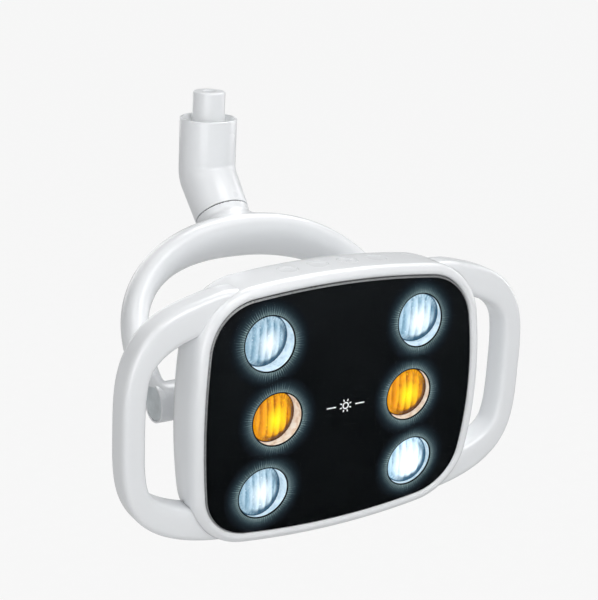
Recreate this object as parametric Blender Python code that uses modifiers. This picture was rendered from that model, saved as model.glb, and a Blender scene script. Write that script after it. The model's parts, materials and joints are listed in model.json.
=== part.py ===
"""Dental operating light head: spigot, elbow, yoke and a lamp head with six lamp modules.

The origin is the centre of the spigot's upper end face, +Z is up along the spigot and the
light shines towards -Y.  All sizes are in metres.
"""

import math

import bmesh
import bpy
from mathutils import Matrix, Vector

MM = 0.001
GAP = 0.3 * MM                       # clearance between pieces that touch
ROUND_STEPS = 20                     # sides of an ordinary round piece
CUT_TWIST = math.radians(4)          # turns a cutter's facets off those of its piece

# Spigot and elbow
SPIGOT_R = 11.0 * MM
SPIGOT_BORE_R = 4.0 * MM
SPIGOT_LENGTH = 51.0 * MM
RIM_Z = -18.0 * MM                   # upper mouth of the elbow
BEND_Z = -56.8 * MM                  # where the elbow's two axes meet
BEND_ANGLE = math.radians(45)
ELBOW_R = 19.5 * MM
ELBOW_END_R = 18.8 * MM
ELBOW_WALL = 3.0 * MM
LOWER_LENGTH = 33.0 * MM             # bend to swivel seam
ELBOW_SIDES = 28

# Yoke, in its own frame: +Z up the swivel axis, origin at the seam
YOKE_HALF_WIDTH = 96.0 * MM
YOKE_RISE = 80.0 * MM
YOKE_BASE_Z = -101.2 * MM            # height of the yoke's widest point
YOKE_EXPONENT = 2.2
YOKE_OFFSET = -7.7 * MM              # the arch lies ahead of the swivel axis
YOKE_SWEEP_END = math.radians(18.5)  # how far the arms curl in below the widest point
PIVOT_DROP = -129.1 * MM
SHAFT_R = 9.0 * MM

# Tilt pivots: distances from the middle plane
BARREL_R = 12.3 * MM
BARREL_INNER = 76.0 * MM
BARREL_OUTER = 97.3 * MM
BOLT_R = 4.0 * MM

# Lamp head, in its own frame: origin at the middle of the glass, +Y to the rear
GLASS_AHEAD = 65.5 * MM              # glass ahead of the tilt axis
GLASS_ABOVE = 6.0 * MM
PANEL_HALF_W = 94.5 * MM
PANEL_HALF_H = 76.4 * MM
CORNER_R = 32.0 * MM
TOP_BOW_R = 538.0 * MM
SIDE_BOW_R = 348.0 * MM
CROWN_R_VERTICAL = 536.0 * MM
CROWN_R_HORIZONTAL = 2435.0 * MM
GLASS_THICKNESS = 2.4 * MM
MASK_THICKNESS = 0.5 * MM

# Lamp modules
WINDOW_R = 16.4 * MM
WINDOW_X_OUTER = 53.6 * MM
WINDOW_X_MIDDLE = 47.5 * MM
WINDOW_Z = 47.3 * MM
LENS_DEPTH = 8.0 * MM
LAMP_STEPS = 18
AIM_ACROSS = math.tan(math.radians(9.5))
AIM_HEIGHT = math.tan(math.radians(6.0))

# Handles
HANDLE_HALF_W = 143.2 * MM
HANDLE_UP = 86.4 * MM               # reach above and below the handle's middle
HANDLE_DOWN = 78.8 * MM
HANDLE_CENTRE_Z = -1.0 * MM
HANDLE_EXPONENT = 3.5
HANDLE_RADIAL = 14.6 * MM            # thickness at the grip, and the growth at the roots
HANDLE_FLARE = 5.0 * MM
HANDLE_FRONT = 8.0 * MM
HANDLE_BACK = 27.0 * MM

# Keys on the top of the head
KEY_R = 6.4 * MM
KEY_PITCH = 21.0 * MM
KEY_Y = 24.0 * MM
KEY_TRAVEL = 0.8 * MM
SWITCH_TOP = 77.0 * MM               # plunger of the switch under each key

FINISHES = {                         # base colour, roughness, metallic
    "white_plastic": ((0.84, 0.86, 0.88), 0.28, 0.0),
    "grey_plastic": ((0.27, 0.30, 0.31), 0.45, 0.0),
    "nylon": ((0.75, 0.75, 0.72), 0.5, 0.0),
    "black_rubber": ((0.02, 0.02, 0.02), 0.7, 0.0),
    "black_print": ((0.01, 0.012, 0.016), 0.25, 0.0),
    "clear_glass": ((0.95, 0.97, 0.98), 0.03, 0.0),
    "clear_lens": ((0.78, 0.88, 0.97), 0.12, 0.0),
    "amber_lens": ((1.0, 0.48, 0.03), 0.12, 0.0),
    "cool_cup": ((0.75, 0.86, 0.95), 0.3, 0.0),
    "warm_cup": ((0.95, 0.82, 0.66), 0.3, 0.0),
    "steel": ((0.60, 0.61, 0.62), 0.3, 1.0),
    "aluminium": ((0.72, 0.73, 0.74), 0.4, 1.0),
    "circuit_board": ((0.03, 0.22, 0.10), 0.5, 0.0),
    "led_board": ((0.80, 0.80, 0.78), 0.4, 0.0),
}


# ---------------------------------------------------------------- scene and object helpers

def clear_scene():
    for obj in list(bpy.data.objects):
        bpy.data.objects.remove(obj)


def new_collection(name):
    made = bpy.data.collections.new(name)
    bpy.context.scene.collection.children.link(made)
    return made


def new_empty(name, parent=None, location=(0, 0, 0), rotation=(0, 0, 0)):
    empty = bpy.data.objects.new(name, None)
    PARTS.objects.link(empty)
    return place(empty, parent, location, rotation)


def new_object(name, mesh):
    obj = bpy.data.objects.new(name, mesh)
    PARTS.objects.link(obj)
    return obj


def place(obj, parent, location=(0, 0, 0), rotation=(0, 0, 0)):
    obj.parent = parent
    obj.location = location
    obj.rotation_euler = rotation
    return obj


def in_head(obj, offset=(0, 0, 0), rotation=(0, 0, 0)):
    """Places a piece made in the lamp head's frame."""
    return place(obj, HEAD, GLASS_CENTRE + Vector(offset), rotation)


def finish(obj, finish_name):
    colour, roughness, metallic = FINISHES[finish_name]
    material = bpy.data.materials.new(obj.name + "_" + finish_name)
    material.use_nodes = True
    shader = material.node_tree.nodes["Principled BSDF"]
    shader.inputs["Base Color"].default_value = (*colour, 1.0)
    shader.inputs["Roughness"].default_value = roughness
    shader.inputs["Metallic"].default_value = metallic
    obj.data.materials.clear()
    obj.data.materials.append(material)
    return obj


def as_cutter(obj):
    """Moves a shape that only cuts or joins others out of the parts."""
    PARTS.objects.unlink(obj)
    CUTTERS.objects.link(obj)
    obj.hide_render = True
    obj.display_type = "WIRE"
    return obj


def combine(target, other, operation):
    modifier = target.modifiers.new(operation.lower(), "BOOLEAN")
    modifier.operation = operation
    modifier.solver = "EXACT"
    modifier.object = as_cutter(other) if other.name in PARTS.objects else other
    return target


def cut(target, other):
    return combine(target, other, "DIFFERENCE")


def join(target, other):
    return combine(target, other, "UNION")


def evaluated_mesh(obj):
    bpy.context.view_layer.update()
    graph = bpy.context.evaluated_depsgraph_get()
    return bpy.data.meshes.new_from_object(obj.evaluated_get(graph))


# ---------------------------------------------------------------- shape helpers

def mesh_from(name, bm, smooth_angle=math.radians(35)):
    bmesh.ops.recalc_face_normals(bm, faces=bm.faces)
    mesh = bpy.data.meshes.new(name)
    bm.to_mesh(mesh)
    bm.free()
    mesh.shade_smooth()
    mesh.set_sharp_from_angle(angle=smooth_angle)
    return mesh


def loft(name, rings, closed=False):
    """A skin through rings of equal count; a closed loft joins its last ring to its first."""
    bm = bmesh.new()
    rows = [[bm.verts.new(point) for point in ring] for ring in rings]
    pairs = list(zip(rows, rows[1:]))
    if closed:
        pairs.append((rows[-1], rows[0]))
    else:
        bm.faces.new(rows[0])
        bm.faces.new(rows[-1])
    for upper, lower in pairs:
        for i in range(len(upper)):
            j = (i + 1) % len(upper)
            bm.faces.new((upper[i], upper[j], lower[j], lower[i]))
    return new_object(name, mesh_from(name, bm))


def turned(name, profile, steps=ROUND_STEPS, twist=0.0):
    """A profile of (radius, height) points, down the outer side first, turned about Z.

    The twist turns its facets, so that a cutter's edges miss those of the piece it cuts."""
    on_axis = profile[0][0] == 0
    mesh = bpy.data.meshes.new(name)
    count = len(profile)
    edges = [(i, i + 1) for i in range(count - 1)]
    if not on_axis:
        edges.append((count - 1, 0))
    across, along = math.cos(twist), math.sin(twist)
    mesh.from_pydata([(r * across, r * along, z) for r, z in profile], edges, [])
    obj = new_object(name, mesh)
    screw = obj.modifiers.new("turn", "SCREW")
    screw.steps = steps
    screw.render_steps = steps
    screw.use_merge_vertices = True
    screw.merge_threshold = 0.00001
    return obj


def tube(name, outer_r, inner_r, top, bottom, steps=ROUND_STEPS):
    profile = [(outer_r, top), (outer_r, bottom), (inner_r, bottom), (inner_r, top)]
    return turned(name, profile, steps)


def disc(name, radius, top, bottom, steps=ROUND_STEPS, twist=0.0):
    profile = [(0, top), (radius, top), (radius, bottom), (0, bottom)]
    return turned(name, profile, steps, twist)


def box(name, low, high):
    bm = bmesh.new()
    bmesh.ops.create_cube(bm, size=1)
    size = [b - a for a, b in zip(low, high)]
    middle = [(a + b) / 2 for a, b in zip(low, high)]
    bmesh.ops.scale(bm, vec=size, verts=bm.verts)
    bmesh.ops.translate(bm, vec=middle, verts=bm.verts)
    return new_object(name, mesh_from(name, bm))


def extruded(name, outline, low, high):
    """A flat outline of (x, y) points, extruded along Z from low to high."""
    curve = bpy.data.curves.new(name, "CURVE")
    curve.dimensions = "2D"
    curve.fill_mode = "BOTH"
    curve.extrude = (high - low) / 2
    spline = curve.splines.new("POLY")
    spline.points.add(len(outline) - 1)
    for point, (x, y) in zip(spline.points, outline):
        point.co = (x, y, 0, 1)
    spline.use_cyclic_u = True
    source = new_object(name + "_outline", curve)
    mesh = evaluated_mesh(source)
    bpy.data.objects.remove(source)
    bm = bmesh.new()
    bm.from_mesh(mesh)
    bmesh.ops.remove_doubles(bm, verts=bm.verts, dist=0.00001)
    bmesh.ops.translate(bm, vec=(0, 0, (high + low) / 2), verts=bm.verts)
    return new_object(name, mesh_from(name, bm))


def group(name, source, placements):
    """One object with a copy of the source's shape at each placement matrix."""
    mesh = evaluated_mesh(source)
    bm = bmesh.new()
    for matrix in placements:
        start = len(bm.verts)
        bm.from_mesh(mesh)
        bm.verts.ensure_lookup_table()
        bmesh.ops.transform(bm, matrix=matrix, verts=bm.verts[start:])
    bpy.data.objects.remove(source)
    return new_object(name, mesh_from(name, bm))


def copies(name, source, placements):
    """A numbered steel screw in the lamp head for each placement, all sharing one mesh."""
    mesh = evaluated_mesh(source)
    bpy.data.objects.remove(source)
    for number, matrix in enumerate(placements, 1):
        screw = new_object("%s_%d" % (name, number), mesh)
        in_head(screw, matrix.translation, matrix.to_euler())
        if number == 1:
            finish(screw, "steel")


def turn_to(direction, location=(0, 0, 0)):
    """The placement that points local +Z along a direction."""
    rotation = Vector(direction).to_track_quat("Z", "Y").to_matrix().to_4x4()
    return Matrix.Translation(location) @ rotation


def signed_power(value, power):
    return math.copysign(abs(value) ** power, value)


# ---------------------------------------------------------------- outlines of the lamp head

def bowed_outline(half_w, half_h, grow):
    """(x, z) points of a rectangle with bowed sides and round corners, tangent throughout."""
    corner, top_r, side_r = CORNER_R + grow, TOP_BOW_R + grow, SIDE_BOW_R + grow
    top_centre = Vector((0, half_h - top_r))
    side_centre = Vector((half_w - side_r, 0))
    reach_top, reach_side = top_r - corner, side_r - corner
    between = side_centre - top_centre
    along = (reach_top ** 2 - reach_side ** 2 + between.length_squared) / (2 * between.length)
    across = math.sqrt(reach_top ** 2 - along ** 2)
    unit = between.normalized()
    corner_centre = top_centre + along * unit + across * Vector((-unit.y, unit.x))
    if corner_centre.x < 0 or corner_centre.y < 0:
        corner_centre = top_centre + along * unit - across * Vector((-unit.y, unit.x))
    to_top = corner_centre - top_centre
    to_side = corner_centre - side_centre
    top_angle = math.atan2(to_top.y, to_top.x)
    side_angle = math.atan2(to_side.y, to_side.x)
    arcs = [(top_centre, top_r, math.pi / 2, top_angle, 3),
            (corner_centre, corner, top_angle, side_angle, 5),
            (side_centre, side_r, side_angle, 0, 3)]
    quarter = []
    for centre, radius, start, end, steps in arcs:
        for i in range(steps):
            angle = start + (end - start) * i / steps
            quarter.append((centre.x + radius * math.cos(angle),
                            centre.y + radius * math.sin(angle)))
    quarter.append((half_w, 0))
    right = quarter + [(x, -z) for x, z in reversed(quarter[:-1])]
    return right + [(-x, z) for x, z in reversed(right[1:-1])]


def crown(x, z):
    """How far the glass falls back from its middle."""
    return z * z / (2 * CROWN_R_VERTICAL) + x * x / (2 * CROWN_R_HORIZONTAL)


def head_ring(grow_x, grow_z, depth, share=0.0, extra=0.0):
    """A ring round the head, grown from the glass edge; share is how much of the crown it keeps."""
    half_w = PANEL_HALF_W + (grow_x + extra) * MM
    half_h = PANEL_HALF_H + (grow_z + extra) * MM
    grow = ((grow_x + grow_z) / 2 + extra) * MM
    outline = bowed_outline(half_w, half_h, grow)
    return [(x, depth * MM + share * crown(x, z), z) for x, z in outline]


HOUSING_OUTSIDE = [                  # growth across, growth in height, depth, share of crown
    (0.4, 0.4, 0.5, 1.0),
    (1.3, 1.3, -0.8, 1.0),
    (3.2, 3.2, -1.5, 1.0),
    (5.4, 5.2, -0.9, 1.0),
    (7.2, 6.8, 1.4, 0.8),
    (8.3, 7.6, 5.5, 0.5),
    (8.6, 7.8, 11.0, 0.2),
    (8.2, 7.8, 20.0, 0.0),
    (6.4, 7.7, 30.0, 0.0),
    (3.4, 7.2, 37.0, 0.0),
    (0.8, 5.6, 40.5, 0.0),
]
HOUSING_INSIDE = [
    (-1.6, 3.4, 40.5, 0.0),
    (0.6, 4.6, 36.5, 0.0),
    (5.6, 5.2, 20.0, 0.0),
    (5.6, 5.0, 9.5, 0.3),
    (4.4, 4.4, 6.4, 1.0),
    (-3.6, -3.6, 6.4, 1.0),
    (-3.6, -3.6, 4.7, 1.0),
    (0.4, 0.4, 4.7, 1.0),
]


def housing_solid(name, extra):
    """The outside form of the housing as a solid, grown by extra millimetres."""
    return loft(name, [head_ring(*row, extra=extra) for row in HOUSING_OUTSIDE])


def crowned_plate(name, grow, front, back):
    """A plate that follows the crown between two depths, out to the glass edge plus grow."""
    def ring(scale, depth):
        rim = bowed_outline(PANEL_HALF_W + grow, PANEL_HALF_H + grow, grow)
        points = [(x * scale, z * scale) for x, z in rim]
        return [(x, depth + crown(x, z), z) for x, z in points]
    scales = (0.3, 0.7, 1.0)
    rings = [ring(scale, front) for scale in scales]
    rings += [ring(scale, back) for scale in reversed(scales)]
    return loft(name, rings)


# ---------------------------------------------------------------- spigot (fixed)

def make_spigot():
    chamfer = 1.0 * MM
    groove_top, groove_bottom, groove_r = -46.9 * MM, -48.8 * MM, 9.9 * MM
    profile = [
        (SPIGOT_R - chamfer, 0),
        (SPIGOT_R, -chamfer),
        (SPIGOT_R, groove_top),
        (groove_r, groove_top),
        (groove_r, groove_bottom),
        (SPIGOT_R, groove_bottom),
        (SPIGOT_R, chamfer - SPIGOT_LENGTH),
        (SPIGOT_R - chamfer, -SPIGOT_LENGTH),
        (SPIGOT_BORE_R, -SPIGOT_LENGTH),
        (SPIGOT_BORE_R, 0),
    ]
    finish(turned("spigot_tube", profile), "white_plastic")
    circlip = tube("spigot_circlip", 14 * MM, groove_r + GAP, -47.2 * MM, -48.5 * MM)
    finish(circlip, "steel")


# ---------------------------------------------------------------- elbow

def elbow_ring(radius, station, lower):
    """A ring of the elbow; station runs down the axis, and the bend is a mitre."""
    ring = []
    for i in range(ELBOW_SIDES):
        angle = 2 * math.pi * i / ELBOW_SIDES
        x, v = radius * math.cos(angle), radius * math.sin(angle)
        if lower:
            point = Vector((x, v, -station))
            point.rotate(Matrix.Rotation(-BEND_ANGLE, 3, "X"))
            point.z += BEND_Z
        else:
            point = Vector((x, v, station + BEND_Z))
        ring.append(point)
    return ring


def mitre_ring(radius):
    """The ring where the two tubes meet, in the plane that halves the bend."""
    ring = []
    for i in range(ELBOW_SIDES):
        angle = 2 * math.pi * i / ELBOW_SIDES
        x, y = radius * math.cos(angle), radius * math.sin(angle)
        ring.append(Vector((x, y, BEND_Z - y * math.tan(BEND_ANGLE / 2))))
    return ring


def eased_bend(radius, ease):
    """Rings round the bend: the mitre with its crease eased over a short length."""
    above = [p + Vector((0, 0, ease)) for p in mitre_ring(radius)]
    down = Vector((0, -math.sin(BEND_ANGLE), -math.cos(BEND_ANGLE))) * ease
    below = [p + down for p in mitre_ring(radius)]
    middle = [(a + b) / 2 * 0.5 + p * 0.5 for a, b, p in zip(above, below, mitre_ring(radius))]
    return [above, middle, below]


def make_elbow():
    ease = 3.0 * MM
    rim = RIM_Z - BEND_Z
    rounding = 0.8 * MM
    end_inner = ELBOW_END_R - ELBOW_WALL
    inner = ELBOW_R - ELBOW_WALL
    rings = [elbow_ring(ELBOW_R - rounding, rim, False),
             elbow_ring(ELBOW_R, rim - rounding, False)]
    rings += eased_bend(ELBOW_R, ease)
    rings += [elbow_ring(ELBOW_END_R, LOWER_LENGTH - rounding, True),
              elbow_ring(ELBOW_END_R - rounding, LOWER_LENGTH, True),
              elbow_ring(end_inner, LOWER_LENGTH, True),
              elbow_ring(end_inner, LOWER_LENGTH - 14 * MM, True)]
    rings += list(reversed(eased_bend(inner, ease)))
    rings += [elbow_ring(inner, rim, False)]
    cover = place(loft("elbow_cover", rings, closed=True), ELBOW, -ELBOW.location)
    hole = disc("grub_hole", 2.2 * MM, 24 * MM, 10 * MM, 16)
    cut(cover, place(hole, ELBOW, (0, 0, 0), GRUB_TURN))
    finish(cover, "white_plastic")

    bushing = tube("upper_bushing", ELBOW_R - ELBOW_WALL - GAP, SPIGOT_R + GAP,
                   -24 * MM, -44 * MM)
    finish(place(bushing, ELBOW, -ELBOW.location), "nylon")
    washer = tube("thrust_washer", 15.5 * MM, SPIGOT_R + GAP, -44.3 * MM, -46.6 * MM)
    finish(place(washer, ELBOW, -ELBOW.location), "steel")
    sleeve = tube("lower_bushing", ELBOW_END_R - ELBOW_WALL - GAP, SHAFT_R + GAP,
                  13 * MM, 1 * MM)
    finish(place(sleeve, ELBOW, YOKE_ORIGIN - ELBOW.location, YOKE_TURN), "nylon")
    screw = disc("grub_screw", 1.9 * MM, 19.0 * MM, 16.6 * MM, 16)
    finish(place(screw, ELBOW, (0, 0, 0), GRUB_TURN), "steel")


# ---------------------------------------------------------------- yoke

def yoke_point(sweep):
    """Centre of the arch's section at a sweep angle, in the yoke's frame."""
    power = 2 / YOKE_EXPONENT
    x = YOKE_HALF_WIDTH * signed_power(math.cos(sweep), power)
    z = YOKE_BASE_Z + YOKE_RISE * signed_power(math.sin(sweep), power)
    return Vector((x, YOKE_OFFSET, z))


def yoke_section(sweep):
    """The arch's oval section: widest at the crown of the arch, slim at the pivots."""
    height = max(0.0, math.sin(sweep)) ** 2
    below = max(0.0, -math.sin(sweep)) / math.sin(YOKE_SWEEP_END)
    thickness = (7.9 + 3.5 * height - 2.3 * below) * MM
    width = (11.3 + 9.4 * height) * MM
    step = math.radians(0.5)
    tangent = (yoke_point(sweep + step) - yoke_point(sweep - step)).normalized()
    outward = Vector((tangent.z, 0, -tangent.x))
    ring = []
    for i in range(16):
        angle = 2 * math.pi * i / 16
        ring.append(yoke_point(sweep) + outward * thickness * math.cos(angle)
                    + Vector((0, width * math.sin(angle), 0)))
    return ring


def neck_ring(radius_x, radius_y, centre_y, z):
    ring = []
    for i in range(ELBOW_SIDES):
        angle = 2 * math.pi * i / ELBOW_SIDES
        ring.append((radius_x * math.cos(angle), centre_y + radius_y * math.sin(angle), z))
    return ring


def pivot_turn(side):
    """Rotation that points a turned piece's +Z outwards along X."""
    return (0, side * math.pi / 2, 0)


def make_yoke():
    stations = 30
    start, end = -YOKE_SWEEP_END, math.pi + YOKE_SWEEP_END
    sections = [yoke_section(start + (end - start) * i / stations)
                for i in range(stations + 1)]
    arm = place(loft("yoke_arm", sections), YOKE)
    neck = loft("neck_boss", [
        neck_ring(17.2 * MM, 17.2 * MM, 0, -1.8 * MM),
        neck_ring(18.0 * MM, 18.0 * MM, 0, -2.6 * MM),
        neck_ring(18.0 * MM, 17.8 * MM, 0, -6.0 * MM),
        neck_ring(20.5 * MM, 17.4 * MM, -2.0 * MM, -12.0 * MM),
        neck_ring(25.0 * MM, 16.0 * MM, -5.0 * MM, -19.0 * MM),
    ])
    join(arm, place(neck, YOKE))
    pivot = (0, YOKE_OFFSET, PIVOT_DROP)
    edge = 0.7 * MM
    for side in (-1, 1):
        barrel = turned("barrel_%+d" % side, [
            (0, BARREL_OUTER),
            (BARREL_R - edge, BARREL_OUTER),
            (BARREL_R, BARREL_OUTER - edge),
            (BARREL_R, BARREL_INNER + edge),
            (BARREL_R - edge, BARREL_INNER),
            (0, BARREL_INNER),
        ])
        join(arm, place(barrel, YOKE, pivot, pivot_turn(side)))
    for side in (-1, 1):
        pocket = turned("barrel_pocket_%+d" % side, [
            (0, 110 * MM),
            (11.0 * MM, 110 * MM),
            (11.0 * MM, 95.0 * MM),
            (9.0 * MM, 95.0 * MM),
            (9.0 * MM, 86.0 * MM),
            (BOLT_R + GAP, 86.0 * MM),
            (BOLT_R + GAP, 70.0 * MM),
            (0, 70.0 * MM),
        ], twist=CUT_TWIST)
        cut(arm, place(pocket, YOKE, pivot, pivot_turn(side)))
    bore = disc("neck_bore", SHAFT_R + GAP, 5 * MM, -25 * MM, twist=CUT_TWIST)
    cut(arm, place(bore, YOKE))
    finish(arm, "white_plastic")

    groove_r = 8.0 * MM
    shaft = turned("neck_shaft", [
        (SHAFT_R, 19.0 * MM),
        (SHAFT_R, 15.1 * MM),
        (groove_r, 15.1 * MM),
        (groove_r, 13.3 * MM),
        (SHAFT_R, 13.3 * MM),
        (SHAFT_R, -24.7 * MM),
        (6.0 * MM, -24.7 * MM),
        (6.0 * MM, 19.0 * MM),
    ])
    finish(place(shaft, YOKE), "steel")
    circlip = tube("neck_circlip", 12.0 * MM, groove_r + GAP, 14.8 * MM, 13.6 * MM)
    finish(place(circlip, YOKE), "steel")
    washer = tube("swivel_washer", 17.4 * MM, SHAFT_R + GAP, -GAP, -1.5 * MM)
    finish(place(washer, YOKE), "black_rubber")

    for side, word in ((-1, "left"), (1, "right")):
        cap = turned("pivot_end_cap_" + word, [
            (0, 97.0 * MM),
            (10.2 * MM, 97.0 * MM),
            (10.7 * MM, 96.6 * MM),
            (10.7 * MM, 95.3 * MM),
            (0, 95.3 * MM),
        ])
        finish(place(cap, YOKE, pivot, pivot_turn(side)), "grey_plastic")
        bolt = turned("pivot_bolt_" + word, [
            (0, 93.5 * MM),
            (6.2 * MM, 93.5 * MM),
            (6.5 * MM, 93.0 * MM),
            (6.5 * MM, 89.0 * MM),
            (BOLT_R, 89.0 * MM),
            (BOLT_R, 53.5 * MM),
            (0, 53.5 * MM),
        ])
        finish(place(bolt, HEAD, (0, 0, 0), pivot_turn(side)), "steel")
        spring = turned("disc_spring_" + word, [
            (8.4 * MM, 87.4 * MM),
            (8.4 * MM, 86.3 * MM),
            (BOLT_R + GAP, 87.4 * MM),
            (BOLT_R + GAP, 88.6 * MM),
        ])
        finish(place(spring, YOKE, pivot, pivot_turn(side)), "steel")
        pad = tube("friction_washer_" + word, 11.6 * MM, BOLT_R + GAP,
                   75.7 * MM, 74.7 * MM)
        finish(place(pad, YOKE, pivot, pivot_turn(side)), "nylon")


# ---------------------------------------------------------------- lamp head: shells and glass

def handle_edge(sweep):
    """Outer edge of the handle, in the head's frame; the roots dive into the housing."""
    power = 2 / HANDLE_EXPONENT
    x = HANDLE_HALF_W * signed_power(math.cos(sweep), power)
    reach = HANDLE_UP if sweep > 0 else HANDLE_DOWN
    z = reach * signed_power(math.sin(sweep), power)
    root = max(0.0, (88 * MM - x) / (30 * MM))
    z -= math.copysign(6.0 * MM * root ** 2, z)
    return Vector((x, (HANDLE_FRONT + HANDLE_BACK) / 2, z + HANDLE_CENTRE_Z))


def handle_section(sweep):
    """A rounded rectangle across the handle, square to its path and thicker at the roots."""
    step = math.radians(0.5)
    tangent = (handle_edge(sweep + step) - handle_edge(sweep - step)).normalized()
    outward = Vector((tangent.z, 0, -tangent.x))
    edge = handle_edge(sweep)
    near = min(1.0, max(0.0, (120 * MM - edge.x) / (32 * MM)))
    radial = (HANDLE_RADIAL + HANDLE_FLARE * near * near * (3 - 2 * near)) / 2
    width = (HANDLE_BACK - HANDLE_FRONT) / 2
    ring = []
    for i in range(16):
        angle = 2 * math.pi * (i + 0.5) / 16
        a = signed_power(math.cos(angle), 0.72)
        b = signed_power(math.sin(angle), 0.72)
        ring.append(edge + outward * radial * (a - 1) + Vector((0, width * b, 0)))
    return ring


def make_handles():
    stations = 22
    reach = math.radians(73)
    for side, word in ((-1, "left"), (1, "right")):
        sections = []
        for i in range(stations + 1):
            section = handle_section(reach - 2 * reach * i / stations)
            sections.append([(side * p.x, p.y, p.z) for p in section])
        handle = in_head(loft("handle_" + word, sections))
        cut(handle, HOUSING_CUTTER)
        cut(handle, HANDLE_SCREW_HOLES)
        finish(handle, "white_plastic")


def make_housing():
    rings = [head_ring(*row) for row in HOUSING_OUTSIDE + HOUSING_INSIDE]
    housing = in_head(loft("front_housing", rings, closed=True))
    for x in KEY_PLACES:
        hole = disc("key_hole_%d" % round(x / MM), KEY_R + GAP, 95 * MM, 76 * MM)
        cut(housing, in_head(hole, (x, KEY_Y, 0)))
    cut(housing, HANDLE_SCREW_HOLES)
    finish(housing, "white_plastic")

    glass = in_head(crowned_plate("front_glass", 0, 0, GLASS_THICKNESS))
    finish(glass, "clear_glass")
    mask_front = GLASS_THICKNESS + GAP
    mask_back = mask_front + MASK_THICKNESS
    mask = in_head(crowned_plate("window_mask", 0, mask_front, mask_back))
    for name, window, aim in MODULES:
        hole = disc("window_" + name, WINDOW_R, 10 * MM, -30 * MM, LAMP_STEPS)
        cut(mask, in_head(hole, (window.x, 0, window.z), (math.pi / 2, 0, 0)))
    finish(mask, "black_print")
    seal_front, seal_back = 3.5, 4.4
    rings = [head_ring(-0.3, -0.3, seal_front, 1.0), head_ring(-0.3, -0.3, seal_back, 1.0),
             head_ring(-3.3, -3.3, seal_back, 1.0), head_ring(-3.3, -3.3, seal_front, 1.0)]
    finish(in_head(loft("glass_seal", rings, closed=True)), "black_rubber")


def swollen_ring(half_w, half_h, centre_z, depth):
    """A ring round the raised rear housing, matched point for point with the head's rings."""
    outline = bowed_outline(PANEL_HALF_W, PANEL_HALF_H, 0)
    across, up = half_w * MM / PANEL_HALF_W, half_h * MM / PANEL_HALF_H
    return [(x * across, depth * MM, z * up + centre_z * MM) for x, z in outline]


def rear_cover_rings(inset):
    """Rings from the cover's edge to the middle of its raised back; inset is in millimetres."""
    edge_depth = 40.8
    rings = [head_ring(0.8 - inset, 5.6 - inset, edge_depth)]
    for grow_x, grow_z, depth in ((-1.4, 3.0, 43.6), (-5.5, -2.0, 46.4), (-13.0, -10.5, 48.0)):
        rings.append(head_ring(grow_x - inset, grow_z - inset, depth - inset))
    for half_w, half_h, depth in ((73.5, 47.5, 49.6), (70.5, 44.5, 52.5), (69.5, 43.5, 70.0),
                                  (67.0, 41.0, 77.5), (60.0, 34.0, 81.2), (42.0, 20.0, 82.0)):
        rings.append(swollen_ring(half_w - inset, half_h - inset, -6.0, depth - inset))
    return rings


def make_rear_cover():
    wall = 2.4
    outside = rear_cover_rings(0)
    inside = rear_cover_rings(wall)
    inside[0] = [(x, outside[0][0][1], z) for x, _, z in inside[0]]
    bm = bmesh.new()
    rows = [[bm.verts.new(p) for p in ring] for ring in outside + list(reversed(inside))]
    count = len(rows[0])
    middle = len(outside)
    for index, (upper, lower) in enumerate(zip(rows, rows[1:] + rows[:1])):
        if index == middle - 1:
            bm.faces.new(upper)
            bm.faces.new(lower)
            continue
        for i in range(count):
            j = (i + 1) % count
            bm.faces.new((upper[i], upper[j], lower[j], lower[i]))
    cover = in_head(new_object("rear_cover", mesh_from("rear_cover", bm)))
    for side in (-1, 1):
        opening = disc("hub_opening_%+d" % side, 12.5 * MM, 85 * MM, 60 * MM)
        cut(cover, place(opening, HEAD, (0, 0, 0), pivot_turn(side)))
    slot = box("slot_source", (-26 * MM, 76 * MM, -1.3 * MM), (26 * MM, 90 * MM, 1.3 * MM))
    heights = [(-6 + 6.5 * step) * MM for step in (-2, -1, 0, 1, 2)]
    slots = group("vent_slots", slot, [Matrix.Translation((0, 0, z)) for z in heights])
    cut(cover, in_head(slots))
    seat = turned("seat_source", [
        (0, 60 * MM), (3.6 * MM, 60 * MM), (3.6 * MM, 46.6 * MM),
        (1.9 * MM, 46.6 * MM), (1.9 * MM, 40 * MM), (0, 40 * MM)], 12)
    seats = group("cover_screw_seats", seat, COVER_SCREW_PLACES)
    cut(cover, in_head(seats))
    finish(cover, "white_plastic")
    screw = turned("screw_source", [
        (0, 48.6 * MM), (2.4 * MM, 48.6 * MM), (3.2 * MM, 47.9 * MM), (3.2 * MM, 46.9 * MM),
        (1.5 * MM, 46.9 * MM), (1.5 * MM, 36.5 * MM), (0, 36.5 * MM)], 8)
    copies("cover_screw", screw, COVER_SCREW_PLACES)


# ---------------------------------------------------------------- lamp head: lamp modules

def module_placement(window, aim):
    """Origin at the middle of the lens rim, +Z along the beam."""
    surface = Vector((window.x, crown(window.x, window.z), window.z))
    return surface - aim.normalized() * LENS_DEPTH, aim.to_track_quat("Z", "Y").to_euler()


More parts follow.
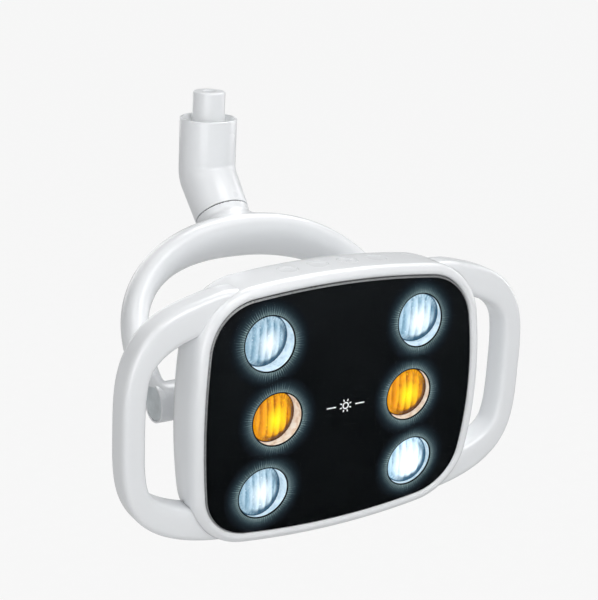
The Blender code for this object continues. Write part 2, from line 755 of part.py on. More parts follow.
def make_modules():
    trim = crowned_plate("cup_trim", 0, -30 * MM,
                         GLASS_THICKNESS + MASK_THICKNESS + 2 * GAP)
    as_cutter(in_head(trim))
    for name, window, aim in MODULES:
        middle, turn = module_placement(window, aim)
        amber = "middle" in name
        lens = turned("lens_" + name, [
            (0, 1.6 * MM),
            (6.0 * MM, 1.4 * MM),
            (11.5 * MM, 0.8 * MM),
            (15.6 * MM, 0),
            (16.3 * MM, -0.8 * MM),
            (16.3 * MM, -4.0 * MM),
            (0, -4.0 * MM),
        ], LAMP_STEPS)
        finish(in_head(lens, middle, turn), "amber_lens" if amber else "clear_lens")
        cup = turned("lens_cup_" + name, [
            (18.2 * MM, 14.0 * MM),
            (18.2 * MM, -5.5 * MM),
            (7.5 * MM, -17.5 * MM),
            (5.0 * MM, -17.5 * MM),
            (15.0 * MM, -6.5 * MM),
            (15.0 * MM, -4.3 * MM),
            (16.7 * MM, -4.3 * MM),
            (16.7 * MM, 14.0 * MM),
        ], LAMP_STEPS)
        in_head(cup, middle, turn)
        cut(cup, trim)
        finish(cup, "warm_cup" if amber else "cool_cup")
        star = turned("led_board_" + name, [
            (0, -16.2 * MM),
            (1.6 * MM, -16.6 * MM),
            (2.4 * MM, -17.8 * MM),
            (9.5 * MM, -17.8 * MM),
            (9.5 * MM, -19.4 * MM),
            (0, -19.4 * MM),
        ], 12)
        finish(in_head(star, middle, turn), "led_board")


def make_heat_sink():
    """A plate with upright fins behind, tilted pads for the lamps and posts for the screws."""
    half_w, front, back, fin_end = 80 * MM, 32.5 * MM, 35 * MM, 42 * MM
    fin, pitch, fins = 1.1 * MM, 20 * MM, 5
    outline = [(-half_w, front), (half_w, front), (half_w, back)]
    for i in reversed(range(fins)):
        x = (i - (fins - 1) / 2) * pitch
        outline += [(x + fin, back), (x + fin, fin_end), (x - fin, fin_end), (x - fin, back)]
    outline.append((-half_w, back))
    sink = in_head(extruded("heat_sink", outline, -64 * MM, 64 * MM))
    for name, window, aim in MODULES:
        middle, turn = module_placement(window, aim)
        pad = disc("pad_" + name, 8.0 * MM, -19.7 * MM, -27.0 * MM, 10)
        join(sink, in_head(pad, middle, turn))
    post = disc("post_source", 4.0 * MM, 42.5 * MM, 33.5 * MM, 10)
    posts = group("screw_posts", post, COVER_SCREW_PLACES)
    join(sink, in_head(posts))
    hole = disc("post_hole_source", 1.8 * MM, 50 * MM, 36 * MM, 8)
    holes = group("screw_post_holes", hole, COVER_SCREW_PLACES)
    cut(sink, in_head(holes))
    finish(sink, "aluminium")


def make_tilt_bracket():
    """A U of steel strip with a welded pivot hub on each ear."""
    base_front, base_back, ear_end = 43.0 * MM, 45.0 * MM, 73.5 * MM
    inner, outer = 60.7 * MM, 62.7 * MM
    outline = [(-outer, base_front), (outer, base_front), (outer, ear_end), (inner, ear_end),
               (inner, base_back), (-inner, base_back), (-inner, ear_end), (-outer, ear_end)]
    pivot_z = -GLASS_ABOVE
    bracket = in_head(extruded("tilt_bracket", outline, pivot_z - 13 * MM, pivot_z + 13 * MM))
    for side in (-1, 1):
        hub = turned("pivot_hub_%+d" % side, [
            (0, 74.4 * MM),
            (11.9 * MM, 74.4 * MM),
            (11.9 * MM, 62.0 * MM),
            (0, 62.0 * MM),
        ])
        join(bracket, place(hub, HEAD, (0, 0, 0), pivot_turn(side)))
    bore = disc("bracket_bore", BOLT_R + GAP, 80 * MM, -80 * MM, twist=CUT_TWIST)
    cut(bracket, place(bore, HEAD, (0, 0, 0), pivot_turn(1)))
    finish(bracket, "steel")


def make_boards():
    driver = box("driver_board", (-48 * MM, 56 * MM, -36 * MM), (48 * MM, 57.6 * MM, 24 * MM))
    in_head(driver)
    coil = box("driver_coil", (-34 * MM, 57 * MM, -24 * MM), (-8 * MM, 70 * MM, 6 * MM))
    join(driver, in_head(coil))
    for x, z in ((14, -20), (14, 2), (32, -9)):
        part = disc("capacitor_%d_%d" % (x, z), 6 * MM, 73 * MM, 57 * MM, 12)
        join(driver, in_head(part, (x * MM, 0, z * MM), (-math.pi / 2, 0, 0)))
    finish(driver, "circuit_board")
    board = box("key_board", (-42 * MM, 17 * MM, 73.4 * MM), (42 * MM, 31 * MM, 75 * MM))
    in_head(board)
    for x in KEY_PLACES:
        switch = disc("switch_%d" % round(x / MM), 2.2 * MM, SWITCH_TOP, 74 * MM, 12)
        join(board, in_head(switch, (x, KEY_Y, 0)))
    finish(board, "circuit_board")


def make_keys():
    """Round keys whose tops follow the housing; each origin is on its own travel axis."""
    form = as_cutter(in_head(housing_solid("key_form", -0.1)))
    names = ("power", "dimmer", "brighter", "colour")
    for x, word in zip(KEY_PLACES, names):
        key = turned("key_" + word, [
            (0, 16 * MM), (KEY_R, 16 * MM), (KEY_R, 1.4 * MM),
            (7.4 * MM, 1.4 * MM), (7.4 * MM, 0), (0, 0)])
        in_head(key, (x, KEY_Y, SWITCH_TOP + KEY_TRAVEL + 0.4 * MM))
        combine(key, form, "INTERSECT")
        finish(key, "white_plastic")


def make_handle_screws():
    screw = turned("handle_screw_source", [
        (0, 4.2 * MM), (1.5 * MM, 4.2 * MM), (1.5 * MM, -3.9 * MM),
        (3.0 * MM, -3.9 * MM), (3.0 * MM, -6.2 * MM), (0, -6.2 * MM)], 12)
    copies("handle_screw", screw, HANDLE_SCREW_PLACES)


# ---------------------------------------------------------------- assembly

clear_scene()
PARTS = new_collection("dental_operating_light")
CUTTERS = new_collection("cutters")

SWIVEL_AXIS = Vector((0, math.sin(BEND_ANGLE), math.cos(BEND_ANGLE)))
YOKE_ORIGIN = Vector((0, 0, BEND_Z)) - SWIVEL_AXIS * LOWER_LENGTH
YOKE_TURN = (-BEND_ANGLE, 0, 0)
ELBOW = new_empty("elbow_swivel", None, (0, 0, -34 * MM))
YOKE = new_empty("yoke_swivel", None, YOKE_ORIGIN, YOKE_TURN)
PIVOT = YOKE_ORIGIN + Matrix.Rotation(-BEND_ANGLE, 3, "X") @ Vector((0, YOKE_OFFSET, PIVOT_DROP))
HEAD = new_empty("head_tilt", None, PIVOT)
GLASS_CENTRE = Vector((0, -GLASS_AHEAD, GLASS_ABOVE))

GRUB_TURN = (-math.pi / 2, 0, 0)     # the grub screw enters from the rear
KEY_PLACES = [(i - 1.5) * KEY_PITCH for i in range(4)]
COVER_SCREW_PLACES = [turn_to((0, 1, 0), (x * MM, 0, z * MM))
                      for x in (-73, 73) for z in (-58, 58)]
HANDLE_SCREW_PLACES = []
for side in (-1, 1):
    for across, up in ((0.807, -0.591), (0.747, 0.664)):
        place_on_corner = (side * (62.5 + 36.4 * across) * MM, (HANDLE_FRONT + HANDLE_BACK) / 2,
                           (math.copysign(44.4, up) + 36.4 * up) * MM)
        HANDLE_SCREW_PLACES.append(turn_to((side * across, 0, up), place_on_corner))
MODULES = []
for side, side_word in ((-1, "left"), (1, "right")):
    for up, height_word in ((1, "upper"), (0, "middle"), (-1, "lower")):
        window_x = WINDOW_X_OUTER if up else WINDOW_X_MIDDLE
        window_at = Vector((side * window_x, 0, up * WINDOW_Z))
        aim_at = Vector((-side * AIM_ACROSS, -1, -up * AIM_HEIGHT))
        MODULES.append((height_word + "_" + side_word, window_at, aim_at))
HOUSING_CUTTER = as_cutter(in_head(housing_solid("housing_cutter", 0.3)))
screw_hole = disc("screw_hole_source", 1.8 * MM, 4.7 * MM, -10 * MM, 12)
HANDLE_SCREW_HOLES = group("handle_screw_holes", screw_hole, HANDLE_SCREW_PLACES)
HANDLE_SCREW_HOLES = as_cutter(in_head(HANDLE_SCREW_HOLES))

make_spigot()
make_elbow()
make_yoke()
make_housing()
make_rear_cover()
make_handles()
make_modules()
make_heat_sink()
make_tilt_bracket()
make_boards()
make_keys()
make_handle_screws()
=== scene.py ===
import json
from math import atan2, copysign, cos, hypot, pi, radians, sin, sqrt, tan

import bmesh
import bpy
import numpy as np
from mathutils import Matrix, Vector


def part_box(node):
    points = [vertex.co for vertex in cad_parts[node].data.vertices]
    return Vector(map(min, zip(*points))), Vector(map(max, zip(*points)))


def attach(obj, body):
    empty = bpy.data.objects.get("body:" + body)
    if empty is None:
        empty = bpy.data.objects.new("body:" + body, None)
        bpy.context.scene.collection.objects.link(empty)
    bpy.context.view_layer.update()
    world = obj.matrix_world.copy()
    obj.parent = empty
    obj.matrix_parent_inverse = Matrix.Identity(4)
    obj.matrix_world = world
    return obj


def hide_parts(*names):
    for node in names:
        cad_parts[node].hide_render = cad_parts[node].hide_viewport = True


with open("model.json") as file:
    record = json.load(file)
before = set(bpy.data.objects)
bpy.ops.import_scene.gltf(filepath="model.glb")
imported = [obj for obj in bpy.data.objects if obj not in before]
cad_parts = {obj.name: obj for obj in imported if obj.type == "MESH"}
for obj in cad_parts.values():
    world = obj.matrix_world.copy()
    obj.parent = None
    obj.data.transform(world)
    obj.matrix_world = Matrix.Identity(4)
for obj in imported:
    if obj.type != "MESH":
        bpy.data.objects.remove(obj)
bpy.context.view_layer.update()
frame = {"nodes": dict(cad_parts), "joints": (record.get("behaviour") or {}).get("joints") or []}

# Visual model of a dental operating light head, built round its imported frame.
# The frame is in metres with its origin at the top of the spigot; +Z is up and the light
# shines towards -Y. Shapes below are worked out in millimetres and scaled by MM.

MM = 0.001

# ---------------------------------------------------------------- places, from the frame

JOINTS = {joint["name"]: joint for joint in frame["joints"]}
YOKE_ORIGIN = Vector(JOINTS["yoke_swivel"]["pos_m"]) / MM
SWIVEL_AXIS = Vector(JOINTS["yoke_swivel"]["axis"])
PIVOT = Vector(JOINTS["head_tilt"]["pos_m"]) / MM
BEND_ANGLE = atan2(SWIVEL_AXIS.y, SWIVEL_AXIS.z)
BEND_Z = YOKE_ORIGIN.z - YOKE_ORIGIN.y / tan(BEND_ANGLE)
LOWER_LENGTH = -YOKE_ORIGIN.y / sin(BEND_ANGLE)

glass_low, glass_high = (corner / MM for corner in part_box("front_glass"))
GLASS_CENTRE = Vector((0, glass_low.y, (glass_low.z + glass_high.z) / 2))
PANEL_HALF_W = (glass_high.x - glass_low.x) / 2
PANEL_HALF_H = (glass_high.z - glass_low.z) / 2
SPIGOT_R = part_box("spigot_tube")[1].x / MM
ELBOW_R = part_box("elbow_cover")[1].x / MM
RIM_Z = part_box("elbow_cover")[1].z / MM
BARREL_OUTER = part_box("pivot_end_cap_right")[1].x / MM + 0.3

ROW = Matrix.Identity(4)
HEAD = Matrix.Translation(GLASS_CENTRE)
YOKE = Matrix.Translation(YOKE_ORIGIN) @ Matrix.Rotation(-BEND_ANGLE, 4, "X")
SIDES = ((-1, "left"), (1, "right"))
KEYS = ("power", "dimmer", "brighter", "colour")

# Elbow
ELBOW_SIDES = 112                    # points in a ring
BEND_EASE_INNER = 1.6                # how far before the bend its rounding starts
BEND_EASE_GROWTH = 4.2

# Outlines of the head, in millimetres
CORNER_R = 32.0
TOP_BOW_R = 538.0
SIDE_BOW_R = 348.0
CROWN_R_VERTICAL = 536.0
CROWN_R_HORIZONTAL = 2435.0
GLASS_THICKNESS = 0.75
PRINT_FRONT = 0.9                    # depth of the black print's front face
PRINT_BACK = 1.4
PANEL_REACH = 1.1                    # the visible panel runs a little under the lip
PANEL_DROP = 0.5

# Lamp windows and modules
WINDOW_R = 16.4
WINDOW_X_OUTER = 53.6
WINDOW_X_MIDDLE = 47.5
WINDOW_Z = 47.3
LENS_DEPTH = 6.4
AIM_ACROSS = tan(radians(4.5))
AIM_HEIGHT = tan(radians(3.0))
WINDOW_DROP = 1.0                    # the lamps sit a touch below the middle of the glass
FLUTE_PITCH = 4.9

# Yoke, in its own frame
YOKE_HALF_WIDTH = 96.0
YOKE_RISE = 80.0
YOKE_BASE_Z = -101.2
YOKE_EXPONENT = 2.2
YOKE_OFFSET = -7.7
YOKE_SWEEP_END = radians(18.5)
PIVOT_DROP = -129.1
BARREL_CENTRE = (0, YOKE_OFFSET, PIVOT_DROP)
BARREL_R = 12.3
BARREL_INNER = 76.0
POCKET_R = 11.0
SKIN_BARREL_R = BARREL_R - 0.12      # the yoke's skin lies just inside the turned barrels
SKIN_BARREL_INNER = BARREL_INNER + 0.6
SKIN_BARREL_OUTER = BARREL_OUTER - 3.0

# Handles, in the head's frame
HANDLE_HALF_W = 143.2
HANDLE_UP = 86.4                     # reach above and below the handle's middle
HANDLE_DOWN = 78.8
HANDLE_CENTRE_Z = -1.0
HANDLE_EXPONENT = 3.5
HANDLE_RADIAL = 14.6                 # thickness at the grip
HANDLE_FLARE = 6.0                   # growth in thickness towards the roots
HANDLE_FRONT = 8.0
HANDLE_BACK = 27.0
HANDLE_SQUARENESS = 0.44             # power of its section; 1 is an oval, 0 a rectangle

# Rear cover
HUB_OPENING_R = 12.5
VENT_PITCH = 6.5

# Keys
KEY_HOLE_R = 6.7
KEY_TOP_R = 6.56
KEY_PITCH = 21.0
KEY_Y = 24.0


# ---------------------------------------------------------------- shader nodes

class Nodes:
    """A node tree, with short names for the nodes used here."""

    def __init__(self, tree):
        self.tree = tree

    def node(self, kind, inputs=(), **settings):
        made = self.tree.nodes.new("ShaderNode" + kind)
        for key, value in settings.items():
            setattr(made, key, value)
        for key, value in dict(inputs).items():
            if hasattr(value, "links"):
                self.tree.links.new(value, made.inputs[key])
            else:
                made.inputs[key].default_value = value
        return made

    def place(self, stretch=(1, 1, 1)):
        coordinates = self.node("TexCoord").outputs["Object"]
        if stretch == (1, 1, 1):
            return coordinates
        return self.node("Mapping", {"Vector": coordinates, "Scale": stretch}).outputs[0]

    def noise(self, scale, detail=3.0, stretch=(1, 1, 1)):
        inputs = {"Vector": self.place(stretch), "Scale": scale, "Detail": detail}
        return self.node("TexNoise", inputs).outputs["Fac"]

    def attribute(self, name, output="Fac"):
        return self.node("Attribute", attribute_name=name).outputs[output]

    def fit(self, value, low, high, new_low=0.0, new_high=1.0):
        inputs = {0: value, 1: low, 2: high, 3: new_low, 4: new_high}
        return self.node("MapRange", inputs).outputs[0]

    def cloud(self, *noise):
        """Soft clouds from 0 to 1."""
        return self.fit(self.noise(*noise), 0.3, 0.7)

    def math(self, operation, a, b=0.0):
        return self.node("Math", {0: a, 1: b}, operation=operation).outputs[0]

    def mix(self, share, a, b, blend="MIX"):
        made = self.node("Mix", {"Factor": share}, data_type="RGBA", blend_type=blend)
        for slot, value in ((6, a), (7, b)):
            if hasattr(value, "links"):
                self.tree.links.new(value, made.inputs[slot])
            else:
                made.inputs[slot].default_value = (*value, 1)
        return made.outputs[2]

    def ramp(self, value, stops):
        """A colour ramp of (position, colour) stops."""
        made = self.node("ValToRGB", {"Fac": value})
        elements = made.color_ramp.elements
        for _ in range(len(stops) - 2):
            elements.new(0.5)
        for element, (position, colour) in zip(elements, stops):
            element.position = position
            element.color = (*colour, 1)
        return made.outputs["Color"]


# ---------------------------------------------------------------- camera, lights, floor

def linked(name, data):
    """A new object with this data, in the scene."""
    made = bpy.data.objects.new(name, data)
    bpy.context.scene.collection.objects.link(made)
    return made


def as_object(name, bm):
    mesh = bpy.data.meshes.new(name)
    bm.to_mesh(mesh)
    bm.free()
    return linked(name, mesh)


def make_camera():
    camera = linked("camera", bpy.data.cameras.new("camera"))
    right = Vector((0.8501, -0.5239, 0.0494))
    up = Vector((0.1224, 0.2864, 0.9502))
    back = right.cross(up).normalized()
    up = back.cross(right).normalized()
    turn = Matrix((right.normalized(), up, back)).transposed()
    camera.matrix_world = Matrix.Translation((-0.4461, -0.8247, 0.1575)) @ turn.to_4x4()
    camera.data.lens = 83.33
    camera.data.clip_end = 60
    bpy.context.scene.camera = camera


SOFTBOXES = [                        # azimuth and elevation in degrees, watts
    (0, 10, 10.5), (90, 10, 6.3), (225, 10, 16.3), (45, 50, 30.5),
    (180, 50, 8.0), (270, 50, 27.3), (315, 50, 6.3),
]
SOFTBOX_DISTANCE = 2.2
SOFTBOX_SIZE = 1.3
STUDIO_MIDDLE = Vector((0, -0.1, -0.12))
WORLD_STOPS = ((0.0, 0.59), (0.42, 0.59), (0.55, 0.0), (1.0, 0.0))
BACKDROP = [(0, 0), (14, 0), (19, 2), (21, 8), (19, 16), (12, 22), (0, 24)]
FLOOR_Z = -0.9


def make_softbox(azimuth, elevation, power):
    name = "softbox_%d_%d" % (azimuth, elevation)
    light = bpy.data.lights.new(name, "AREA")
    light.shape = "RECTANGLE"
    light.size = light.size_y = SOFTBOX_SIZE
    light.energy = power
    across = SOFTBOX_DISTANCE * cos(radians(elevation))
    offset = Vector((across * cos(radians(azimuth)),
                     across * sin(radians(azimuth)),
                     SOFTBOX_DISTANCE * sin(radians(elevation))))
    turn = (-offset).to_track_quat("-Z", "Y").to_matrix().to_4x4()
    linked(name, light).matrix_world = Matrix.Translation(STUDIO_MIDDLE + offset) @ turn


def make_studio():
    """Soft boxes all round, a world that is bright below, and a floor that curves up all round."""
    for softbox in SOFTBOXES:
        make_softbox(*softbox)
    world = bpy.data.worlds.new("studio")
    bpy.context.scene.world = world
    world.use_nodes = True
    nodes = Nodes(world.node_tree)
    direction = nodes.node("SeparateXYZ", {0: nodes.node("TexCoord").outputs["Generated"]})
    stops = [(at, (level, level * 1.005, level * 1.01)) for at, level in WORLD_STOPS]
    sky = nodes.ramp(nodes.fit(direction.outputs["Z"], -1.0, 1.0), stops)
    nodes.tree.links.new(sky, nodes.tree.nodes["Background"].inputs["Color"])

    floor = as_object("studio_floor", turned(BACKDROP, 64))
    floor.location.z = FLOOR_Z
    floor.data.materials.append(floor_material())
    floor.visible_diffuse = False
    floor.visible_glossy = False
    bpy.context.scene.view_settings.view_transform = "Standard"


# ---------------------------------------------------------------- materials

class Recipe(Nodes):
    """A node material round one Principled shader."""

    def __init__(self, name, colour, roughness, **settings):
        self.material = bpy.data.materials.new(name)
        self.material.use_nodes = True
        super().__init__(self.material.node_tree)
        self.shader = self.tree.nodes["Principled BSDF"]
        self.set("Base Color", (*colour, 1))
        self.set("Roughness", roughness)
        for key, value in settings.items():
            self.set(key.replace("_", " ").title().replace("Ior", "IOR"), value)

    def set(self, socket, value):
        if hasattr(value, "links"):
            self.tree.links.new(value, self.shader.inputs[socket])
        else:
            self.shader.inputs[socket].default_value = value

    def glow(self, colour, strength=1.0):
        self.set("Emission Color", colour)
        self.set("Emission Strength", strength)

    def bump(self, *layers):
        """Each layer is (height, strength, distance in metres); later layers lie on earlier ones."""
        normal = None
        for height, strength, distance in layers:
            made = self.node("Bump", {"Height": height, "Strength": strength, "Distance": distance})
            if normal is not None:
                self.tree.links.new(normal, made.inputs["Normal"])
            normal = made.outputs[0]
        self.set("Normal", normal)


def scaled(colour, factor):
    return tuple(channel * factor for channel in colour)


def floor_material():
    """Matt paper, self-lit so that it stays evenly pale."""
    recipe = Recipe("studio_paper", (0.01, 0.01, 0.01), 0.9, specular_ior_level=0.0)
    recipe.glow(recipe.mix(recipe.cloud(40), (0.922, 0.922, 0.922), (0.928, 0.928, 0.928)))
    return recipe.material


def moulded_plastic(name, colour, roughness, grain=0.05, coat=0.25):
    """Injection moulded plastic: faint flow mottling, sparse dark specks, hazy roughness and a fine
    eroded grain.
    """
    recipe = Recipe(name, colour, roughness, coat_weight=coat, coat_roughness=0.12)
    flow = recipe.fit(recipe.noise(24, 3, (1, 1, 0.45)), 0.25, 0.75)
    tint = recipe.mix(flow, scaled(colour, 0.99), scaled(colour, 1.005))
    speck = recipe.fit(recipe.noise(2400, 1), 0.72, 0.8, 0.0, 0.03)
    recipe.set("Base Color", recipe.mix(speck, tint, scaled(colour, 0.85)))
    haze = recipe.fit(recipe.noise(45, 2), 0.25, 0.75, roughness - 0.015, roughness + 0.02)
    recipe.set("Roughness", haze)
    recipe.bump((recipe.noise(2600, 2), grain, 0.00008))
    return recipe.material


def mottled(name, colour, roughness, tones, cloud, wear=None, grain=None, **settings):
    """Two tones in soft clouds. wear: a noise and the roughness it spans; grain: a noise, the
    strength of its bump and its depth in metres."""
    recipe = Recipe(name, colour, roughness, **settings)
    recipe.set("Base Color", recipe.mix(recipe.cloud(*cloud), *tones))
    if wear:
        noise, low, high = wear
        recipe.set("Roughness", recipe.fit(recipe.noise(*noise), 0.3, 0.7, low, high))
    if grain:
        noise, strength, depth = grain
        recipe.bump((recipe.noise(*noise), strength, depth))
    return recipe.material


def shaded(colour, low, high):
    return scaled(colour, low), scaled(colour, high)


def machined_metal(name, colour, roughness, stretch=(1, 1, 1), scale=700):
    """Machined metal: fine tool marks, slight tarnish clouds and polished streaks."""
    marks = (scale, 4, stretch)
    return mottled(name, colour, roughness, shaded(colour, 0.86, 1.05), (90, 4),
                   (marks, roughness - 0.08, roughness + 0.14), (marks, 0.15, 0.00006),
                   metallic=1.0)


def black_print():
    """Screen print behind the glass: near black, with a faint cool painted sheen that glows brighter
    towards the top.
    """
    recipe = Recipe("black_print", (0.003, 0.0035, 0.004), 0.4, specular_ior_level=0.0)
    cloud = recipe.cloud(22, 3)
    recipe.set("Base Color", recipe.mix(cloud, (0.0020, 0.0024, 0.0026), (0.0035, 0.0040, 0.0045)))
    # Painted sheen: a glow that rises towards the top of the panel
    place = recipe.node("SeparateXYZ", {0: recipe.place()})
    rise = recipe.fit(place.outputs["Z"], (GLASS_CENTRE.z - PANEL_HALF_H) * MM,
                      (GLASS_CENTRE.z + PANEL_HALF_H) * MM)
    painted_sheen = recipe.math("ADD", rise, recipe.fit(cloud, 0.0, 1.0, -0.06, 0.06))
    recipe.glow(recipe.ramp(painted_sheen, ((0.0, (0.0004, 0.0005, 0.0006)),
                                    (0.55, (0.0014, 0.0018, 0.0020)),
                                    (1.0, (0.0040, 0.0044, 0.0050)))))
    recipe.bump((recipe.noise(1800, 2), 0.05, 0.00005))
    return recipe.material


def clear_glass():
    """Anti-reflection coated front glass with the lightest wiping marks."""
    recipe = Recipe("coated_glass", (0.97, 0.985, 0.99), 0.0, transmission_weight=1.0, ior=1.03)
    streak = recipe.noise(26, 5, (1, 1, 3.2))
    recipe.set("Roughness", recipe.fit(streak, 0.45, 0.75, 0.0, 0.012))
    recipe.set("Base Color", recipe.mix(recipe.fit(streak, 0.3, 0.7),
                                        (0.965, 0.982, 0.988), (0.985, 0.993, 0.996)))
    return recipe.material


def ray_print(name, strength):
    """The print round each window, glowing with painted lamp light; the halo attribute is its
    brightness.
    """
    recipe = Recipe(name, (0.004, 0.005, 0.007), 0.5, specular_ior_level=0.0)
    grain = recipe.fit(recipe.noise(2200, 2), 0.35, 0.65, 0.8, 1.15)
    level = recipe.math("MULTIPLY", recipe.attribute("halo"), grain)
    colour = recipe.ramp(level, ((0.0, (0.0012, 0.0016, 0.0019)), (0.35, (0.024, 0.042, 0.052)),
                                 (0.7, (0.105, 0.160, 0.170)), (1.0, (0.30, 0.40, 0.40))))
    recipe.glow(colour, strength)
    return recipe.material


def ink(name, colour, roughness, tones, lit=False):
    """Printed ink of slightly uneven cover; with lit, its tone is painted as a glow, in place of
    light falling on it.
    """
    recipe = Recipe(name, colour, roughness)
    tone = recipe.mix(recipe.fit(recipe.noise(1800, 2), 0.35, 0.65), *tones)
    if lit:
        recipe.glow(tone)
    else:
        recipe.set("Base Color", tone)
    return recipe.material


def lit_lens(name, shades):
    """A fluted lens lit from behind, its light and shade painted into its glow. shades: shadow,
    flute, bright, core and rim-line colours; the rim-line colour is painted shade in the groove at
    the lens edge.
    """
    shadow, flute, bright, core, line = shades
    recipe = Recipe(name, bright, 0.09, specular_ior_level=0.3)
    calc, fit, mix = recipe.math, recipe.fit, recipe.mix
    across, up, radius = recipe.node(
        "SeparateXYZ", {0: recipe.attribute("spot", "Vector")}).outputs
    glow, ridge = recipe.attribute("glow"), recipe.attribute("ridge")
    fine = recipe.noise(1500, 3, (1, 1, 0.35))
    # Painted light and shade of the flutes: stripes along the ridges, with brighter patches
    band = calc("ADD", ridge, fit(fine, 0.3, 0.7, -0.12, 0.12))
    painted_flute_light = recipe.ramp(band, ((0.05, shadow), (0.42, flute), (0.85, bright)))
    body = mix(fit(recipe.noise(330, 4, (1, 1, 0.45)), 0.42, 0.66, 0.0, 0.55), painted_flute_light, bright)
    # Painted shade, darker towards negative across
    shade = fit(calc("ADD", across, calc("MULTIPLY", up, 0.3)), -1.0, 0.1, 0.55, 0.0)
    body = mix(shade, body, flute)
    # Painted glints in the core colour
    body = mix(fit(recipe.noise(900, 2), 0.66, 0.72, 0.0, 0.5), body, core)
    # The bright heart, a little off the middle and drawn out along the ridges
    dx = calc("SUBTRACT", across, 0.12)
    dy = calc("MULTIPLY", calc("SUBTRACT", up, -0.12), 0.80)
    away = calc("SQRT", calc("ADD", calc("MULTIPLY", dx, dx), calc("MULTIPLY", dy, dy)))
    away = calc("DIVIDE", calc("SUBTRACT", away, calc("MULTIPLY", ridge, 0.10)), glow)
    body = mix(fit(away, 0.0, 0.60, 0.88, 0.0), body, core)
    # The dark edge, broad at the lower right, is a painted shadow, and the rim line all round is
    # painted shade in the groove at the lens edge
    lean = calc("SUBTRACT", calc("MULTIPLY", across, 0.79), calc("MULTIPLY", up, 0.62))
    edge = calc("MULTIPLY", fit(radius, 0.70, 0.82), fit(lean, 0.0, 0.6, 0.15, 0.97))
    body = mix(edge, body, line)
    body = mix(fit(radius, 0.955, 0.975, 0.0, 0.92), body, line)
    level = recipe.node("CombineColor", {0: glow, 1: glow, 2: glow}).outputs[0]
    recipe.set("Base Color", mix(0.75, body, (0.0, 0.0, 0.0)))
    recipe.glow(mix(1.0, body, level, "MULTIPLY"))
    recipe.set("Roughness", fit(fine, 0.3, 0.7, 0.05, 0.14))
    return recipe.material


def lit_wall(name, deep_shade, pale):
    """The satin wall of a lamp recess, washed by its own light, with painted patches of light and
    painted shade deeper in.
    """
    recipe = Recipe(name, pale, 0.32)
    # Painted patches of light
    painted_light_patch = recipe.fit(recipe.noise(260, 3), 0.38, 0.66)
    wash = recipe.mix(painted_light_patch, deep_shade, pale)
    # Painted shade, growing deeper into the recess
    wash = recipe.mix(recipe.fit(recipe.attribute("depth"), 0.0, 1.0, 0.0, 0.35), wash, deep_shade)
    recipe.set("Base Color", recipe.mix(0.7, wash, (0.05, 0.05, 0.05)))
    recipe.glow(wash, 0.92)
    recipe.set("Roughness", recipe.fit(painted_light_patch, 0.0, 1.0, 0.25, 0.4))
    return recipe.material


def circuit_lacquer():
    """Green solder resist over copper tracks."""
    recipe = Recipe("circuit_lacquer", (0.02, 0.16, 0.07), 0.35, coat_weight=0.5, coat_roughness=0.1)
    tracks = recipe.node("TexBrick", {"Vector": recipe.place(), "Scale": 160.0,
                                      "Mortar Size": 0.035}).outputs["Fac"]
    resist = recipe.mix(recipe.cloud(120, 3), (0.012, 0.11, 0.045), (0.025, 0.19, 0.08))
    recipe.set("Base Color", recipe.mix(tracks, resist, (0.06, 0.30, 0.12)))
    pads = recipe.node("TexVoronoi", {"Vector": recipe.place(), "Scale": 240.0}).outputs["Distance"]
    recipe.set("Metallic", recipe.fit(pads, 0.10, 0.12, 0.9, 0.0))
    recipe.bump((tracks, 0.3, 0.00005))
    return recipe.material


WHITE = (0.815, 0.832, 0.850)
SHELL = moulded_plastic("gloss_white_shell", WHITE, 0.25)
ELBOW_WHITE = moulded_plastic("gloss_white_elbow", scaled(WHITE, 0.99), 0.28)
SPIGOT_WHITE = moulded_plastic("coated_white_tube", scaled(WHITE, 0.98), 0.32, 0.08)
KEY_WHITE = moulded_plastic("gloss_white_key", scaled(WHITE, 0.985), 0.27, 0.03)
CAP_COLOUR = (0.60, 0.645, 0.665)
GREY_CAP = mottled("grey_cap_plastic", CAP_COLOUR, 0.42, shaded(CAP_COLOUR, 0.9, 1.1), (160, 4),
                   ((900, 2), 0.36, 0.5), ((3200, 2), 0.25, 0.00012))
PRINT = black_print()
GLASS = clear_glass()
GRIND = (900, 3, (1, 4, 1))
GLASS_EDGE = mottled("ground_glass_edge", (0.20, 0.205, 0.215), 0.3,
                     ((0.13, 0.135, 0.14), (0.30, 0.305, 0.31)), GRIND,
                     (GRIND, 0.22, 0.42), (GRIND, 0.2, 0.00006))
HALO = ray_print("halo_haze_print", 1.0)
RAYS = ray_print("halo_ray_print", 1.15)
COOL_LENS = lit_lens("cool_fluted_lens", (
    (0.09, 0.20, 0.30), (0.26, 0.42, 0.54), (0.56, 0.73, 0.84), (1.00, 1.06, 1.10),
    (0.008, 0.050, 0.095)))
AMBER_LENS = lit_lens("amber_fluted_lens", (
    (0.36, 0.09, 0.0), (0.76, 0.26, 0.0), (1.10, 0.52, 0.0), (1.25, 1.0, 0.004),
    (0.060, 0.014, 0.001)))
COOL_WALL = lit_wall("cool_recess_wall", (0.46, 0.60, 0.70), (0.64, 0.76, 0.84))
WARM_WALL = lit_wall("warm_recess_wall", (0.62, 0.46, 0.34), (0.76, 0.68, 0.60))
STEEL = machined_metal("machined_steel", (0.60, 0.61, 0.62), 0.28)
SPRING_STEEL = machined_metal("spring_steel", (0.45, 0.46, 0.48), 0.35, (1, 1, 3))
ALUMINIUM = machined_metal("extruded_aluminium", (0.74, 0.75, 0.76), 0.38, (6, 6, 0.3), 300)
NYLON_COLOUR = (0.74, 0.73, 0.68)
NYLON = mottled("natural_nylon", NYLON_COLOUR, 0.45, shaded(NYLON_COLOUR, 0.92, 1.04), (300, 4),
                ((1100, 2), 0.38, 0.55), ((1500, 3), 0.15, 0.0001),
                subsurface_weight=0.15, subsurface_scale=0.002)
